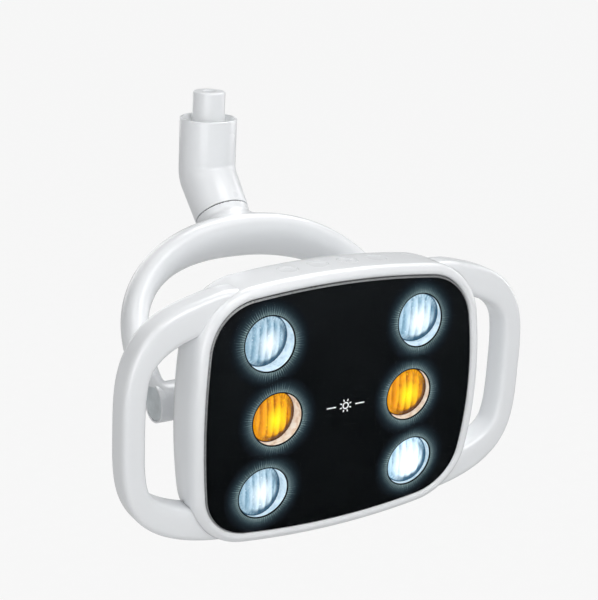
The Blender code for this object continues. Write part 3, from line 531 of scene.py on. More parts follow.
RUBBER = mottled("matt_rubber", (0.018, 0.018, 0.019), 0.7,
                 ((0.012, 0.012, 0.013), (0.03, 0.03, 0.031)), (500, 4),
                 ((500, 4), 0.6, 0.8), ((2500, 3), 0.3, 0.0001))
CIRCUIT = circuit_lacquer()
LED_BOARD = mottled("led_lacquer", (0.80, 0.80, 0.78), 0.4,
                    ((0.74, 0.74, 0.70), (0.86, 0.86, 0.84)), (420, 3),
                    grain=((1600, 2), 0.15, 0.00008))
KEY_PRINT = ink("key_print", (0.50, 0.52, 0.54), 0.45, ((0.44, 0.46, 0.48), (0.56, 0.58, 0.60)))
# The panel mark's ink glows: painted light in place of light falling on it
MARK_PRINT = ink("mark_print", (0.5, 0.5, 0.5), 0.5,
                 ((0.42, 0.43, 0.44), (0.60, 0.61, 0.62)), lit=True)


# ---------------------------------------------------------------- mesh helpers

def make_piece(name, body, slot, bm, materials, place=ROW, replaces=(), sharp=35):
    """Turns a bmesh in millimetres into a piece in the row frame that rides on a body."""
    piece = as_object(name, bm)
    mesh = piece.data
    mesh.transform(Matrix.Diagonal((MM, MM, MM, 1)) @ place)
    mesh.shade_smooth()
    mesh.set_sharp_from_angle(angle=radians(sharp))
    for material in materials:
        mesh.materials.append(material)
    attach(piece, body)
    if replaces:
        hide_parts(*replaces)
    return piece


def circle(radius, sides, lead=0.0):
    """(x, y) points round a circle."""
    angles = [2 * pi * (i + lead) / sides for i in range(sides)]
    return [(radius * cos(angle), radius * sin(angle)) for angle in angles]


def skin(bm, one, two):
    """Quads between two rings of vertices."""
    for i, corner in enumerate(one):
        j = (i + 1) % len(one)
        bm.faces.new((one[j], corner, two[i], two[j]))


def rounded_profile(corners, steps=5):
    """A profile of (radius, height, rounding) corners, each rounded by an arc of its size."""
    points = []
    count = len(corners)
    for i, (r, z, size) in enumerate(corners):
        here = Vector((r, z))
        before = Vector(corners[i - 1][:2])
        after = Vector(corners[(i + 1) % count][:2])
        if size <= 0 or i in (0, count - 1):
            points.append((r, z))
            continue
        a = (before - here).normalized()
        b = (after - here).normalized()
        half = a.angle(b) / 2
        reach = min(size / tan(half), (before - here).length * 0.49,
                    (after - here).length * 0.49)
        start, end = here + a * reach, here + b * reach
        for k in range(steps + 1):
            t = k / steps
            p = start * (1 - t) ** 2 + here * 2 * t * (1 - t) + end * t ** 2
            points.append((p.x, p.y))
    return points


def turned(profile, sides=96):
    """A bmesh of a (radius, height) profile turned about Z; open ends lie on the axis."""
    bm = bmesh.new()
    rings = []
    for r, z in profile:
        points = [(0, 0)] if r < 1e-6 else circle(r, sides)
        rings.append([bm.verts.new((x, y, z)) for x, y in points])
    pairs = list(zip(rings, rings[1:]))
    if len(rings[0]) > 1 and len(rings[-1]) > 1:
        pairs.append((rings[-1], rings[0]))
    for one, two in pairs:
        if len(one) > 1 and len(two) > 1:
            skin(bm, one, two)
            continue
        tip, ring = sorted((one, two), key=len)
        for i, corner in enumerate(ring):
            j = (i + 1) % len(ring)
            bm.faces.new((tip[0], corner, ring[j]) if tip is one else (ring[j], corner, tip[0]))
    bmesh.ops.recalc_face_normals(bm, faces=bm.faces)
    return bm


def lathed(corners, sides=96):
    """A turned bmesh of (radius, height, rounding) corners."""
    return turned(rounded_profile(corners), sides)


def loft(rings, closed=False, bm=None):
    """A bmesh skin through rings of equal count, with end caps unless it closes on itself."""
    bm = bm or bmesh.new()
    rows = [[bm.verts.new(point) for point in ring] for ring in rings]
    pairs = list(zip(rows, rows[1:]))
    if closed:
        pairs.append((rows[-1], rows[0]))
    else:
        bm.faces.new(rows[0])
        bm.faces.new(rows[-1])
    for upper, lower in pairs:
        skin(bm, lower, upper)
    bmesh.ops.recalc_face_normals(bm, faces=bm.faces)
    return bm


def smooth_rows(rows, steps):
    """Catmull-Rom rows through a table, so that the skin between them flows."""
    table = np.array(rows, float)
    padded = np.vstack([2 * table[0] - table[1], table, 2 * table[-1] - table[-2]])
    made = []
    for i in range(1, len(table)):
        p0, p1, p2, p3 = padded[i - 1:i + 3]
        for k in range(steps):
            t = k / steps
            made.append(0.5 * (2 * p1 + (p2 - p0) * t + (2 * p0 - 5 * p1 + 4 * p2 - p3) * t * t
                               + (3 * p1 - p0 - 3 * p2 + p3) * t ** 3))
    made.append(table[-1])
    return [tuple(row.tolist()) for row in made]


def cylinder(radius, low, high, sides=64):
    return turned([(0, high), (radius, high), (radius, low), (0, low)], sides)


def cut(bm, cutters):
    """The bmesh less each cutter bmesh, by an exact boolean; both are in millimetres."""
    target = as_object("scratch", bm)
    tools = [as_object("scratch", cutter) for cutter in cutters]
    for tool in tools:
        modifier = target.modifiers.new("cut", "BOOLEAN")
        modifier.operation = "DIFFERENCE"
        modifier.solver = "EXACT"
        modifier.object = tool
    bpy.context.view_layer.update()
    graph = bpy.context.evaluated_depsgraph_get()
    result = bmesh.new()
    result.from_mesh(target.evaluated_get(graph).to_mesh())
    for obj in [target, *tools]:
        mesh = obj.data
        bpy.data.objects.remove(obj)
        bpy.data.meshes.remove(mesh)
    return result


def moved(bm, matrix):
    bmesh.ops.transform(bm, matrix=matrix, verts=bm.verts)
    return bm


def crosswise(radius, side, inner, outer, sides, centre):
    """A cylinder along X through a centre, from one distance out to another on one side."""
    low, high = sorted((side * inner, side * outer))
    rod = moved(cylinder(radius, low, high, sides), Matrix.Rotation(pi / 2, 4, "Y"))
    return moved(rod, Matrix.Translation(centre))


def signed_power(value, power):
    return copysign(abs(value) ** power, value)


def along(direction, location=(0, 0, 0)):
    """The placement that points local +Z along a direction."""
    turn = Vector(direction).to_track_quat("Z", "Y").to_matrix().to_4x4()
    return Matrix.Translation(location) @ turn


# ---------------------------------------------------------------- outlines of the lamp head

def bowed_outline(half_w, half_h, grow, fine=4):
    """(x, z) points of a rectangle with bowed sides and round corners, tangent throughout."""
    corner, top_r, side_r = CORNER_R + grow, TOP_BOW_R + grow, SIDE_BOW_R + grow
    top_centre = Vector((0, half_h - top_r))
    side_centre = Vector((half_w - side_r, 0))
    reach_top, reach_side = top_r - corner, side_r - corner
    between = side_centre - top_centre
    share = (reach_top ** 2 - reach_side ** 2 + between.length_squared) / (2 * between.length)
    across = sqrt(reach_top ** 2 - share ** 2)
    unit = between.normalized()
    corner_centre = top_centre + share * unit + across * Vector((-unit.y, unit.x))
    if corner_centre.x < 0 or corner_centre.y < 0:
        corner_centre = top_centre + share * unit - across * Vector((-unit.y, unit.x))
    to_top = corner_centre - top_centre
    to_side = corner_centre - side_centre
    top_angle = atan2(to_top.y, to_top.x)
    side_angle = atan2(to_side.y, to_side.x)
    arcs = [(top_centre, top_r, pi / 2, top_angle, 6 * fine),
            (corner_centre, corner, top_angle, side_angle, 8 * fine),
            (side_centre, side_r, side_angle, 0, 4 * fine)]
    quarter = []
    for centre, radius, start, end, steps in arcs:
        for i in range(steps):
            angle = start + (end - start) * i / steps
            quarter.append((centre.x + radius * cos(angle),
                            centre.y + radius * sin(angle)))
    quarter.append((half_w, 0))
    right = quarter + [(x, -z) for x, z in reversed(quarter[:-1])]
    return right + [(-x, z) for x, z in reversed(right[1:-1])]


def crown(x, z):
    """How far the glass falls back from its middle."""
    return z * z / (2 * CROWN_R_VERTICAL) + x * x / (2 * CROWN_R_HORIZONTAL)


def head_ring(grow_x, grow_z, depth, share=0.0, extra=0.0):
    """A ring round the head, grown from the glass edge; share is how much of the crown it keeps."""
    half_w = PANEL_HALF_W + grow_x + extra
    half_h = PANEL_HALF_H + grow_z + extra
    outline = bowed_outline(half_w, half_h, (grow_x + grow_z) / 2 + extra)
    return [(x, depth + share * crown(x, z), z) for x, z in outline]


HOUSING_OUTSIDE = [                  # growth across, growth in height, depth, share of crown
    (1.2, 1.2, 0.5, 1.0),
    (1.9, 1.9, -0.7, 1.0),
    (3.5, 3.5, -1.4, 1.0),
    (5.4, 5.2, -0.9, 1.0),
    (7.2, 6.8, 1.4, 0.8),
    (8.3, 7.6, 5.5, 0.5),
    (8.6, 7.8, 11.0, 0.2),
    (8.2, 7.8, 20.0, 0.0),
    (6.4, 7.7, 30.0, 0.0),
    (3.4, 7.2, 37.0, 0.0),
    (0.8, 5.6, 40.5, 0.0),
]
HOUSING_INSIDE = [
    (-1.6, 3.4, 40.5, 0.0),
    (0.6, 4.6, 36.5, 0.0),
    (5.6, 5.2, 20.0, 0.0),
    (5.6, 5.0, 9.5, 0.3),
    (4.4, 4.4, 6.4, 1.0),
    (-3.6, -3.6, 6.4, 1.0),
    (-3.6, -3.6, 4.7, 1.0),
    (1.2, 1.2, 4.7, 1.0),
]
HOUSING_ROWS = smooth_rows(HOUSING_OUTSIDE, 4)


def top_height(x, y=KEY_Y):
    """Height of the housing's top surface over the glass centre."""
    behind_rim = np.array(HOUSING_ROWS)[20:]
    grow_z = float(np.interp(y, behind_rim[:, 2], behind_rim[:, 1]))
    reach = TOP_BOW_R + grow_z
    return PANEL_HALF_H + grow_z - reach + sqrt(reach ** 2 - x ** 2)


MODULES = []
for side, side_word in SIDES:
    for up, height_word in ((1, "upper"), (0, "middle"), (-1, "lower")):
        window_x = WINDOW_X_OUTER if up else WINDOW_X_MIDDLE
        window = Vector((side * window_x, 0, up * WINDOW_Z - WINDOW_DROP))
        aim = Vector((-side * AIM_ACROSS, -1, -up * AIM_HEIGHT)).normalized()
        MODULES.append((height_word + "_" + side_word, window, aim))


# ---------------------------------------------------------------- spigot and elbow

def make_spigot():
    groove_top, groove_bottom, groove_r, end, bore = -46.9, -48.8, 9.9, -51.0, 4.0
    tube = lathed([
        (bore, -0.8, 0), (bore + 0.6, 0, 0.3), (SPIGOT_R, 0, 1.4),
        (SPIGOT_R, groove_top, 0.2), (groove_r, groove_top, 0.1),
        (groove_r, groove_bottom, 0.1), (SPIGOT_R, groove_bottom, 0.2),
        (SPIGOT_R, end, 1.0), (bore, end, 0)])
    make_piece("spigot", "spigot", "white_spigot", tube, [SPIGOT_WHITE],
               replaces=["spigot_tube"])


def upper_ring(radius, height):
    """A ring of the elbow's upright part, at a height over the bend."""
    return [Vector((x, y, height + BEND_Z)) for x, y in circle(radius, ELBOW_SIDES)]


def lower_ring(radius, station):
    """A ring of the elbow's leaning part; station runs down its axis from the bend."""
    turn = Matrix.Rotation(-BEND_ANGLE, 3, "X")
    bend = Vector((0, 0, BEND_Z))
    return [turn @ Vector((x, v, -station)) + bend for x, v in circle(radius, ELBOW_SIDES)]


def eased_bend(radius, steps=8):
    """Rings round the bend: a mitre, crisp at its inner side and eased at its outer side."""
    down = Vector((0, -sin(BEND_ANGLE), -cos(BEND_ANGLE)))
    rings = []
    for k in range(steps + 1):
        t = k / steps
        ring = []
        for x, y in circle(radius, ELBOW_SIDES):
            ease = BEND_EASE_INNER + BEND_EASE_GROWTH * (1 + y / radius)
            corner = Vector((x, y, BEND_Z - y * tan(BEND_ANGLE / 2)))
            above, below = corner + Vector((0, 0, ease)), corner + down * ease
            ring.append(above * (1 - t) ** 2 + corner * 2 * t * (1 - t) + below * t ** 2)
        rings.append(ring)
    return rings


def make_elbow():
    end_r, wall, cavity = 18.8, 3.0, 14.0
    rim = RIM_Z - BEND_Z
    inner = ELBOW_R - wall
    lip, rounding = 1.7, 0.7
    rings = [upper_ring(inner, rim - 4.5), upper_ring(inner + 0.2, rim - 3.6),
             upper_ring(ELBOW_R - lip, rim - 0.5), upper_ring(ELBOW_R - lip + 0.3, rim)]
    for k in range(5):
        turn = pi / 2 * (1 - k / 4)
        rings.append(upper_ring(ELBOW_R - rounding + rounding * cos(turn),
                                rim - rounding + rounding * sin(turn)))
    rings += eased_bend(ELBOW_R)
    rings += [lower_ring(end_r + grow, LOWER_LENGTH - up) for grow, up in (
        (0.02, 0.6), (-0.08, 0.2), (-0.35, 0), (-wall, 0), (-wall, cavity))]
    rings += list(reversed(eased_bend(inner)))
    hole_place = Matrix.Translation((0, 0, JOINTS["elbow_swivel"]["pos_m"][2] / MM)) @ \
        Matrix.Rotation(-pi / 2, 4, "X")
    bm = cut(loft(rings, closed=True), [moved(cylinder(2.2, 12, 24, 40), hole_place)])
    make_piece("elbow", "elbow", "white_elbow", bm, [ELBOW_WHITE], replaces=["elbow_cover"])

    socket = lathed([(0, 17.4, 0), (0.95, 17.6, 0), (0.95, 19.0, 0), (1.9, 19.0, 0.25),
                     (1.9, 16.6, 0.1), (0, 16.6, 0)], 48)
    make_piece("grub_screw_head", "elbow", "steel", socket, [STEEL], hole_place, ["grub_screw"])

    top, bottom, clearance = -24.0, -44.0, 0.3
    bush = lathed([(SPIGOT_R + clearance, bottom, 0), (SPIGOT_R + clearance, top, 0.4),
                   (inner - clearance, top, 0.5), (inner - clearance, bottom, 0)])
    make_piece("spigot_bushing", "elbow", "nylon", bush, [NYLON], replaces=["upper_bushing"])


# ---------------------------------------------------------------- yoke

def oval_distance(*axes):
    """About how far points lie outside an oval; each axis is (offsets, radii)."""
    length = np.sqrt(sum((offset / radius) ** 2 for offset, radius in axes)) + 1e-9
    slope = np.sqrt(sum((offset / radius ** 2) ** 2 for offset, radius in axes)) + 1e-9
    return length * (length - 1) / slope


class Arch:
    """The arch of the yoke as stations along its centre line, each with an oval section."""

    def __init__(self, count=720):
        sweeps = np.linspace(-YOKE_SWEEP_END, pi + YOKE_SWEEP_END, count)
        step = radians(0.3)
        self.centre = self.points(sweeps)
        tangent = self.points(sweeps + step) - self.points(sweeps - step)
        self.tangent = tangent / np.linalg.norm(tangent, axis=1)[:, None]
        self.outward = np.stack([self.tangent[:, 2], np.zeros(count), -self.tangent[:, 0]], 1)
        rise = np.sin(sweeps)
        height = np.maximum(0, rise) ** 2
        below = np.maximum(0, -rise) / sin(YOKE_SWEEP_END)
        self.thickness = 7.9 + 3.5 * height - 2.3 * below
        self.width = 11.3 + 9.4 * height
        self.spacing = np.gradient(np.r_[0, np.cumsum(np.linalg.norm(
            np.diff(self.centre, axis=0), axis=1))])

    @staticmethod
    def points(sweeps):
        power = 2 / YOKE_EXPONENT
        across = np.sign(np.cos(sweeps)) * np.abs(np.cos(sweeps)) ** power
        rise = np.sign(np.sin(sweeps)) * np.abs(np.sin(sweeps)) ** power
        return np.stack([YOKE_HALF_WIDTH * across, np.full_like(sweeps, YOKE_OFFSET),
                         YOKE_BASE_Z + YOKE_RISE * rise], 1)

    def nearest(self, points):
        found = [np.argmin(((part[:, None, :] - self.centre[None]) ** 2).sum(2), axis=1)
                 for part in np.array_split(points, max(1, len(points) // 3000))]
        return np.concatenate(found)

    def distance(self, points, near):
        last = len(self.centre) - 1
        ahead = ((points - self.centre[near]) * self.tangent[near]).sum(1)
        near = np.clip(near + np.rint(ahead / self.spacing[near]).astype(int), 0, last)
        off = points - self.centre[near]
        ahead = (off * self.tangent[near]).sum(1)
        ahead = np.where((near == 0) | (near == last), ahead, 0)
        a = (off * self.outward[near]).sum(1)
        thickness, width = self.thickness[near], self.width[near]
        return oval_distance((a, thickness), (off[:, 1], width), (ahead, thickness))

    def section(self, index, sides=40):
        angles = np.linspace(0, 2 * pi, sides, endpoint=False)
        ring = self.centre[index] + np.outer(np.cos(angles) * self.thickness[index],
                                             self.outward[index])
        ring[:, 1] += self.width[index] * np.sin(angles)
        return [tuple(p) for p in ring]


NECK = np.array([                    # height, radius across, radius fore and aft, middle
    (-0.45, 18.45, 18.45, 0.0), (-6.0, 18.3, 18.1, 0.0), (-12.0, 20.5, 17.4, -2.0),
    (-19.0, 25.0, 16.0, -5.0), (-24.0, 28.0, 13.0, -7.0)])


def neck_distance(points):
    z = points[:, 2]
    rx, ry, middle = (np.interp(-z, -NECK[:, 0], NECK[:, k]) for k in (1, 2, 3))
    side = oval_distance((points[:, 0], rx), (points[:, 1] - middle, ry))
    return rounded_meet(side, np.maximum(z - NECK[0, 0], NECK[-1, 0] - z), 0.4)


def barrel_distance(points):
    radius = np.hypot(points[:, 1] - YOKE_OFFSET, points[:, 2] - PIVOT_DROP)
    across = np.abs(points[:, 0])
    ends = np.maximum(across - SKIN_BARREL_OUTER, SKIN_BARREL_INNER - across)
    return rounded_meet(radius - SKIN_BARREL_R, ends, 0.6)


def rounded_meet(a, b, rounding):
    """Where two distances meet inside both, with the edge rounded."""
    a, b = a + rounding, b + rounding
    return np.minimum(np.maximum(a, b), 0) + np.hypot(np.maximum(a, 0), np.maximum(b, 0)) - rounding


def soft_join(a, b, reach):
    """Union of two distances with a fillet."""
    share = np.clip(0.5 + 0.5 * (b - a) / reach, 0, 1)
    return b * (1 - share) + a * share - reach * share * (1 - share)


def yoke_cage(arch):
    """A rough, evenly meshed yoke: the arch, the neck and the barrels, fused by voxels."""
    neck = [[(rx * cos(t), middle + ry * sin(t), z)
             for t in np.linspace(0, 2 * pi, 48, endpoint=False)]
            for z, rx, ry, middle in NECK]
    bm = loft([arch.section(index) for index in range(0, len(arch.centre), 6)])
    parts = [loft(neck)] + [
        crosswise(SKIN_BARREL_R, side, SKIN_BARREL_INNER, SKIN_BARREL_OUTER, 48, BARREL_CENTRE)
        for side, _ in SIDES]
    mesh = bpy.data.meshes.new("scratch")
    for part in parts:
        part.to_mesh(mesh)
        part.free()
        bm.from_mesh(mesh)
    cage = as_object("yoke_cage", bm)
    remesh = cage.modifiers.new("skin", "REMESH")
    remesh.mode = "VOXEL"
    remesh.voxel_size = 1.0
    bpy.context.view_layer.update()
    made = bmesh.new()
    made.from_mesh(cage.evaluated_get(bpy.context.evaluated_depsgraph_get()).to_mesh())
    bpy.data.objects.remove(cage)
    return made


def make_yoke():
    arch = Arch()
    made = yoke_cage(arch)
    points = np.array([vertex.co for vertex in made.verts])
    near = arch.nearest(points)

    def distance(at):
        joined = soft_join(arch.distance(at, near), neck_distance(at), 7.0)
        return soft_join(joined, barrel_distance(at), 2.5)

    step = 0.02
    for _ in range(4):
        here = distance(points)
        slope = np.stack([distance(points + step * axis) - here for axis in np.eye(3)], 1) / step
        length2 = (slope ** 2).sum(1) + 1e-6
        move = -(here / length2)[:, None] * slope
        reach = np.linalg.norm(move, axis=1)[:, None]
        points = points + move * np.minimum(1, 1.2 / np.maximum(reach, 1e-9))
    for vertex, point in zip(made.verts, points):
        vertex.co = point
    made = cut(made, [crosswise(POCKET_R + 0.05, side, BARREL_OUTER - 2.4, 115, 64, BARREL_CENTRE)
                      for side, _ in SIDES])
    make_piece("yoke", "yoke", "white_shell", made, [SHELL], YOKE, ["yoke_arm"], 40)


def make_pivots():
    """The turned parts of both pivots, on the tilt axis."""
    barrel = [(0, 94.6, 0), (POCKET_R, 94.6, 0.1), (POCKET_R, BARREL_OUTER - 0.2, 0.2),
              (POCKET_R + 0.25, BARREL_OUTER, 0.2), (BARREL_R, BARREL_OUTER, 0.9),
              (BARREL_R, BARREL_INNER, 0.7), (0, BARREL_INNER, 0)]
    cap = [(0, 96.75, 0), (6.5, 96.85, 3), (9.6, 97.05, 0.5), (10.72, 96.9, 0.35),
           (10.72, 95.2, 0), (0, 95.2, 0)]
    ring = [(4.3, 74.7, 0), (4.3, 75.7, 0), (11.6, 75.7, 0.2), (11.6, 74.7, 0.2)]
    hub = [(11.0, 63.0, 0), (11.95, 63.0, 0), (11.95, 74.42, 0.5), (4.6, 74.42, 0.2),
           (4.6, 74.3, 0)]
    for side, word in SIDES:
        place = Matrix.Translation(PIVOT) @ Matrix.Rotation(side * pi / 2, 4, "Y")
        for name, body, slot, corners, sides, material, node in (
                ("pivot_barrel_", "yoke", "white_shell", barrel, 112, SHELL, None),
                ("pivot_cap_", "yoke", "grey_cap", cap, 96, GREY_CAP, "pivot_end_cap_"),
                ("friction_ring_", "yoke", "nylon", ring, 96, NYLON, "friction_washer_"),
                ("pivot_hub_", "head", "steel", hub, 96, STEEL, None)):
            make_piece(name + word, body, slot, lathed(corners, sides), [material], place,
                       [node + word] if node else ())


def make_swivel_seal():
    """The dark washer between the yoke's neck and the elbow."""
    washer = turned([(9.3, -1.2), (9.3, -0.05), (17.9, -0.05), (17.9, -1.2)], 112)
    make_piece("swivel_seal", "yoke", "black_rubber", washer, [RUBBER], YOKE, ["swivel_washer"])


# ---------------------------------------------------------------- housing and rear cover

def key_place(index):
    return (index - 1.5) * KEY_PITCH


def make_housing():
    rings = [head_ring(*row) for row in HOUSING_ROWS + HOUSING_INSIDE]
    bm = loft(rings, closed=True)
    holes = [moved(cylinder(KEY_HOLE_R, 76, 95, 72), Matrix.Translation((key_place(i), KEY_Y, 0)))
             for i in range(4)]
    bm = cut(bm, holes)
    make_piece("front_shell", "head", "white_shell", bm, [SHELL], HEAD, ["front_housing"], 38)


def handle_edge(sweep):
    """Outer edge of the right handle, in the head's frame; it runs level into the housing."""
    power = 2 / (HANDLE_EXPONENT - (0.2 if sweep > 0 else 0.0))
    x = HANDLE_HALF_W * signed_power(cos(sweep), power)
    reach = HANDLE_UP if sweep > 0 else HANDLE_DOWN
    z = reach * signed_power(sin(sweep), power)
    drop = 2.0 * eased((128 - x) / 36) if sweep > 0 else 0.0
    dive = 7.0 * max(0.0, (84 - x) / 30) ** 2
    z -= copysign(drop + dive, z)
    return Vector((x, (HANDLE_FRONT + HANDLE_BACK) / 2, z + HANDLE_CENTRE_Z))


def eased(share):
    share = min(1.0, max(0.0, share))
    return share * share * (3 - 2 * share)


def handle_ring(sweep, sides=44):
    """A rounded rectangle across the right handle, square to its path and thicker at the roots."""
    step = radians(0.5)
    tangent = (handle_edge(sweep + step) - handle_edge(sweep - step)).normalized()
    outward = Vector((tangent.z, 0, -tangent.x))
    edge = handle_edge(sweep)
    half = (HANDLE_RADIAL + HANDLE_FLARE * eased((abs(edge.z) - 36) / 40)) / 2
    width = (HANDLE_BACK - HANDLE_FRONT) / 2
    ring = []
    for x, y in circle(1, sides, 0.5):
        a, b = signed_power(x, HANDLE_SQUARENESS), signed_power(y, HANDLE_SQUARENESS)
        ring.append(edge + outward * half * (a - 1) + Vector((0, width * b, 0)))
    return ring


def make_handles():
    stations, reach, gap = 120, radians(73), 0.12
    for side, word in SIDES:
        rings = []
        for i in range(stations + 1):
            ring = handle_ring(reach - 2 * reach * i / stations)
            rings.append([(side * p.x, p.y, p.z) for p in ring])
        shell = loft([head_ring(*row, extra=gap) for row in HOUSING_ROWS])
        bm = cut(loft(rings), [shell])
        make_piece("grip_" + word, "head", "white_shell", bm, [SHELL], HEAD,
                   ["handle_" + word], 40)


def swollen_ring(half_w, half_h, centre_z, depth):
    """A ring round the raised rear housing, matched point for point with the head's rings."""
    outline = bowed_outline(PANEL_HALF_W, PANEL_HALF_H, 0)
    across, up = half_w / PANEL_HALF_W, half_h / PANEL_HALF_H
    return [(x * across, depth, z * up + centre_z) for x, z in outline]


def make_rear_cover():
    edge, wall, raised_z = 40.8, 2.4, -6.0
    skirt = [(0.8, 5.6, edge), (0.0, 4.7, 42.0), (-1.4, 3.0, 43.6), (-5.5, -2.0, 46.4),
             (-13.0, -10.5, 48.0)]
    raised = [(73.5, 47.5, 49.6), (70.5, 44.5, 52.5), (69.9, 43.9, 60.0), (69.5, 43.5, 70.0),
              (67.0, 41.0, 77.5), (60.0, 34.0, 81.2), (42.0, 20.0, 82.0)]

    def rings(inset, fine):
        points = [head_ring(x - inset, z - inset, y - (inset if y > edge else 0))
                  for x, z, y in skirt]
        points += [swollen_ring(w - inset, h - inset, raised_z, y - inset) for w, h, y in raised]
        flat = [swollen_ring(w, h, raised_z, 82.0 - inset) for w, h in ((24, 11), (8, 4))]
        if fine == 1:
            return points + flat
        stack = np.array([[tuple(p) for p in ring] for ring in points])
        rows = smooth_rows(stack.reshape(len(points), -1), fine)
        return [np.array(row).reshape(-1, 3).tolist() for row in rows] + flat

    bm = loft(list(reversed(rings(wall, 1))) + rings(0.0, 4))
    tools = [crosswise(HUB_OPENING_R, side, 60, 85, 72, PIVOT - GLASS_CENTRE) for side, _ in SIDES]
    for step in (-2, -1, 0, 1, 2):
        place = Matrix.Translation((0, 76, raised_z + VENT_PITCH * step))
        tools.append(moved(rounded_slot(26.0, 1.3), place))
    for place in COVER_SCREWS:
        seat = turned([(0, 60), (3.6, 60), (3.6, 46.6), (1.9, 46.6), (1.9, 40), (0, 40)], 48)
        tools.append(moved(seat, place))
    make_piece("rear_shell", "head", "white_shell", cut(bm, tools), [SHELL], HEAD,
               ["rear_cover"], 38)


def rounded_slot(half_length, half_height, depth=14.0):
    """A slot cutter that runs along +Y, with round ends."""
    outline = []
    for centre, start in ((half_length - half_height, -90), (half_height - half_length, 90)):
        for k in range(9):
            angle = radians(start + 22.5 * k)
            outline.append((centre + half_height * cos(angle),
                            half_height * sin(angle)))
    return loft([[(x, y, z) for x, z in outline] for y in (0, depth)])


COVER_SCREWS = [along((0, 1, 0), (x, 0, z)) for x in (-73, 73) for z in (-58, 58)]


def make_cover_screws():
    """Pan heads with a hexagon socket."""
    corners = [(0, 48.55, 0), (2.2, 48.5, 0.8), (3.15, 47.7, 0.6), (3.15, 46.9, 0.1),
               (1.5, 46.9, 0), (1.5, 37, 0), (0, 37, 0)]
    for number, place in enumerate(COVER_SCREWS, 1):
        head = cut(lathed(corners, 48), [cylinder(1.25, 47.0, 50, 6)])
        name = "cover_screw_%d" % number
        make_piece("socket_" + name, "head", "steel", head, [STEEL], HEAD @ place, [name], 30)


# ---------------------------------------------------------------- glass, print and halos

def plate_rings(grow, depth, scales):
    """Rings of the panel, which reaches a little under the housing's lip, most so below."""
    rim = bowed_outline(PANEL_HALF_W + grow + PANEL_REACH, PANEL_HALF_H + grow + PANEL_REACH,
                        grow + PANEL_REACH)
    rim = [(x, z - PANEL_DROP) for x, z in rim]
    return [[(x * s, depth + crown(x * s, z * s), z * s) for x, z in rim] for s in scales]


def make_glass():
    scales = (0.06, 0.2, 0.35, 0.5, 0.65, 0.8, 0.9)
    bevel, bevel_depth = 1.1, 0.75
    rings = plate_rings(-bevel, 0, (*scales, 1.0))
    front_rows = len(rings)
    rings += plate_rings(-bevel * 0.5, bevel_depth * 0.42, (1.0,))
    rings += plate_rings(0, bevel_depth, (1.0,))
    rings += plate_rings(0, GLASS_THICKNESS, (1.0,))
    edge_rows = len(rings) - front_rows
    rings += plate_rings(-0.3, GLASS_THICKNESS, (1.0, *reversed(scales)))
    bm = loft(rings)
    bm.faces.ensure_lookup_table()
    count = len(rings[0])
    first = 2 + (front_rows - 1) * count
    for face in bm.faces[first:first + edge_rows * count]:
        face.material_index = 1
    make_piece("coated_front_glass", "head", "front_glass", bm, [GLASS, GLASS_EDGE], HEAD,
               ["front_glass"], 18)


def make_print():
    rings = plate_rings(0, PRINT_FRONT, (0.1, 0.4, 0.7, 1.0))
    rings += plate_rings(0, PRINT_BACK, (1.0, 0.7, 0.4, 0.1))
    windows = [moved(cylinder(WINDOW_R, -10, 30, 120),
                     Matrix.Translation((window.x, 0, window.z)) @ Matrix.Rotation(-pi / 2, 4, "X"))
               for _, window, _ in MODULES]
    bm = cut(loft(rings), windows)
    make_piece("black_window_print", "head", "window_mask", bm, [PRINT], HEAD, ["window_mask"])


def with_level(piece, name, values):
    """Stores one number a vertex on the piece's mesh, for its material to read."""
    made = piece.data.attributes.new(name, "FLOAT", "POINT")
    made.data.foreach_set("value", np.array(values, np.float32))


def on_print(x, z, lift):
    """A point a little in front of the black print, in the head's frame."""
    return Vector((x, PRINT_FRONT - lift + crown(x, z), z))


def halo_haze():
    """A ring of painted lamp glow round each window, brightest at its inner edge."""
    start, end, rows, sides = WINDOW_R + 0.8, 26.5, 14, 120
    bm, levels = bmesh.new(), []
    for _, window, _ in MODULES:
        grid = []
        for row in range(rows + 1):
            share = row / rows
            points = circle(start + (end - start) * share, sides)
            grid.append([bm.verts.new(on_print(window.x + x, window.z + z, 0.03))
                         for x, z in points])
            for i in range(sides):
                uneven = 0.85 + 0.15 * cos(8 * pi * i / sides + 0.6)
                levels.append(0.78 * uneven * (1 - share) ** 1.9)
        for inner, outer in zip(grid, grid[1:]):
            skin(bm, inner, outer)
    haze = make_piece("halo_haze", "head", "window_mask", bm, [HALO], HEAD)
    with_level(haze, "halo", levels)


def halo_rays():
    """Fine printed rays over the haze, glowing with painted lamp light, each narrower and dimmer
    outwards.
    """
    rays, start, rows, half = 84, WINDOW_R + 0.9, 6, 0.2
    bm, levels = bmesh.new(), []
    for number, (_, window, _) in enumerate(MODULES):
        for i in range(rays):
            angle = 2 * pi * (i + 0.5 * (number % 2)) / rays
            wobble = sin(i * 2.4 + number)
            length = 5.6 + 0.7 * cos(4 * angle) + 0.4 * wobble
            across = Vector((-sin(angle), 0, cos(angle)))
            pairs = []
            for row in range(rows + 1):
                share = row / rows
                radius = start + length * share
                middle = on_print(window.x + radius * cos(angle),
                                  window.z + radius * sin(angle), 0.06)
                width = half * (1 - 0.5 * share)
                pairs.append([bm.verts.new(middle + across * side * width) for side in (-1, 1)])
                levels += [(0.98 + 0.06 * wobble) * (1 - share) ** 0.62] * 2
            for one, two in zip(pairs, pairs[1:]):
                bm.faces.new((one[0], one[1], two[1], two[0]))
    ticks = make_piece("halo_rays", "head", "window_mask", bm, [RAYS], HEAD)
    with_level(ticks, "halo", levels)


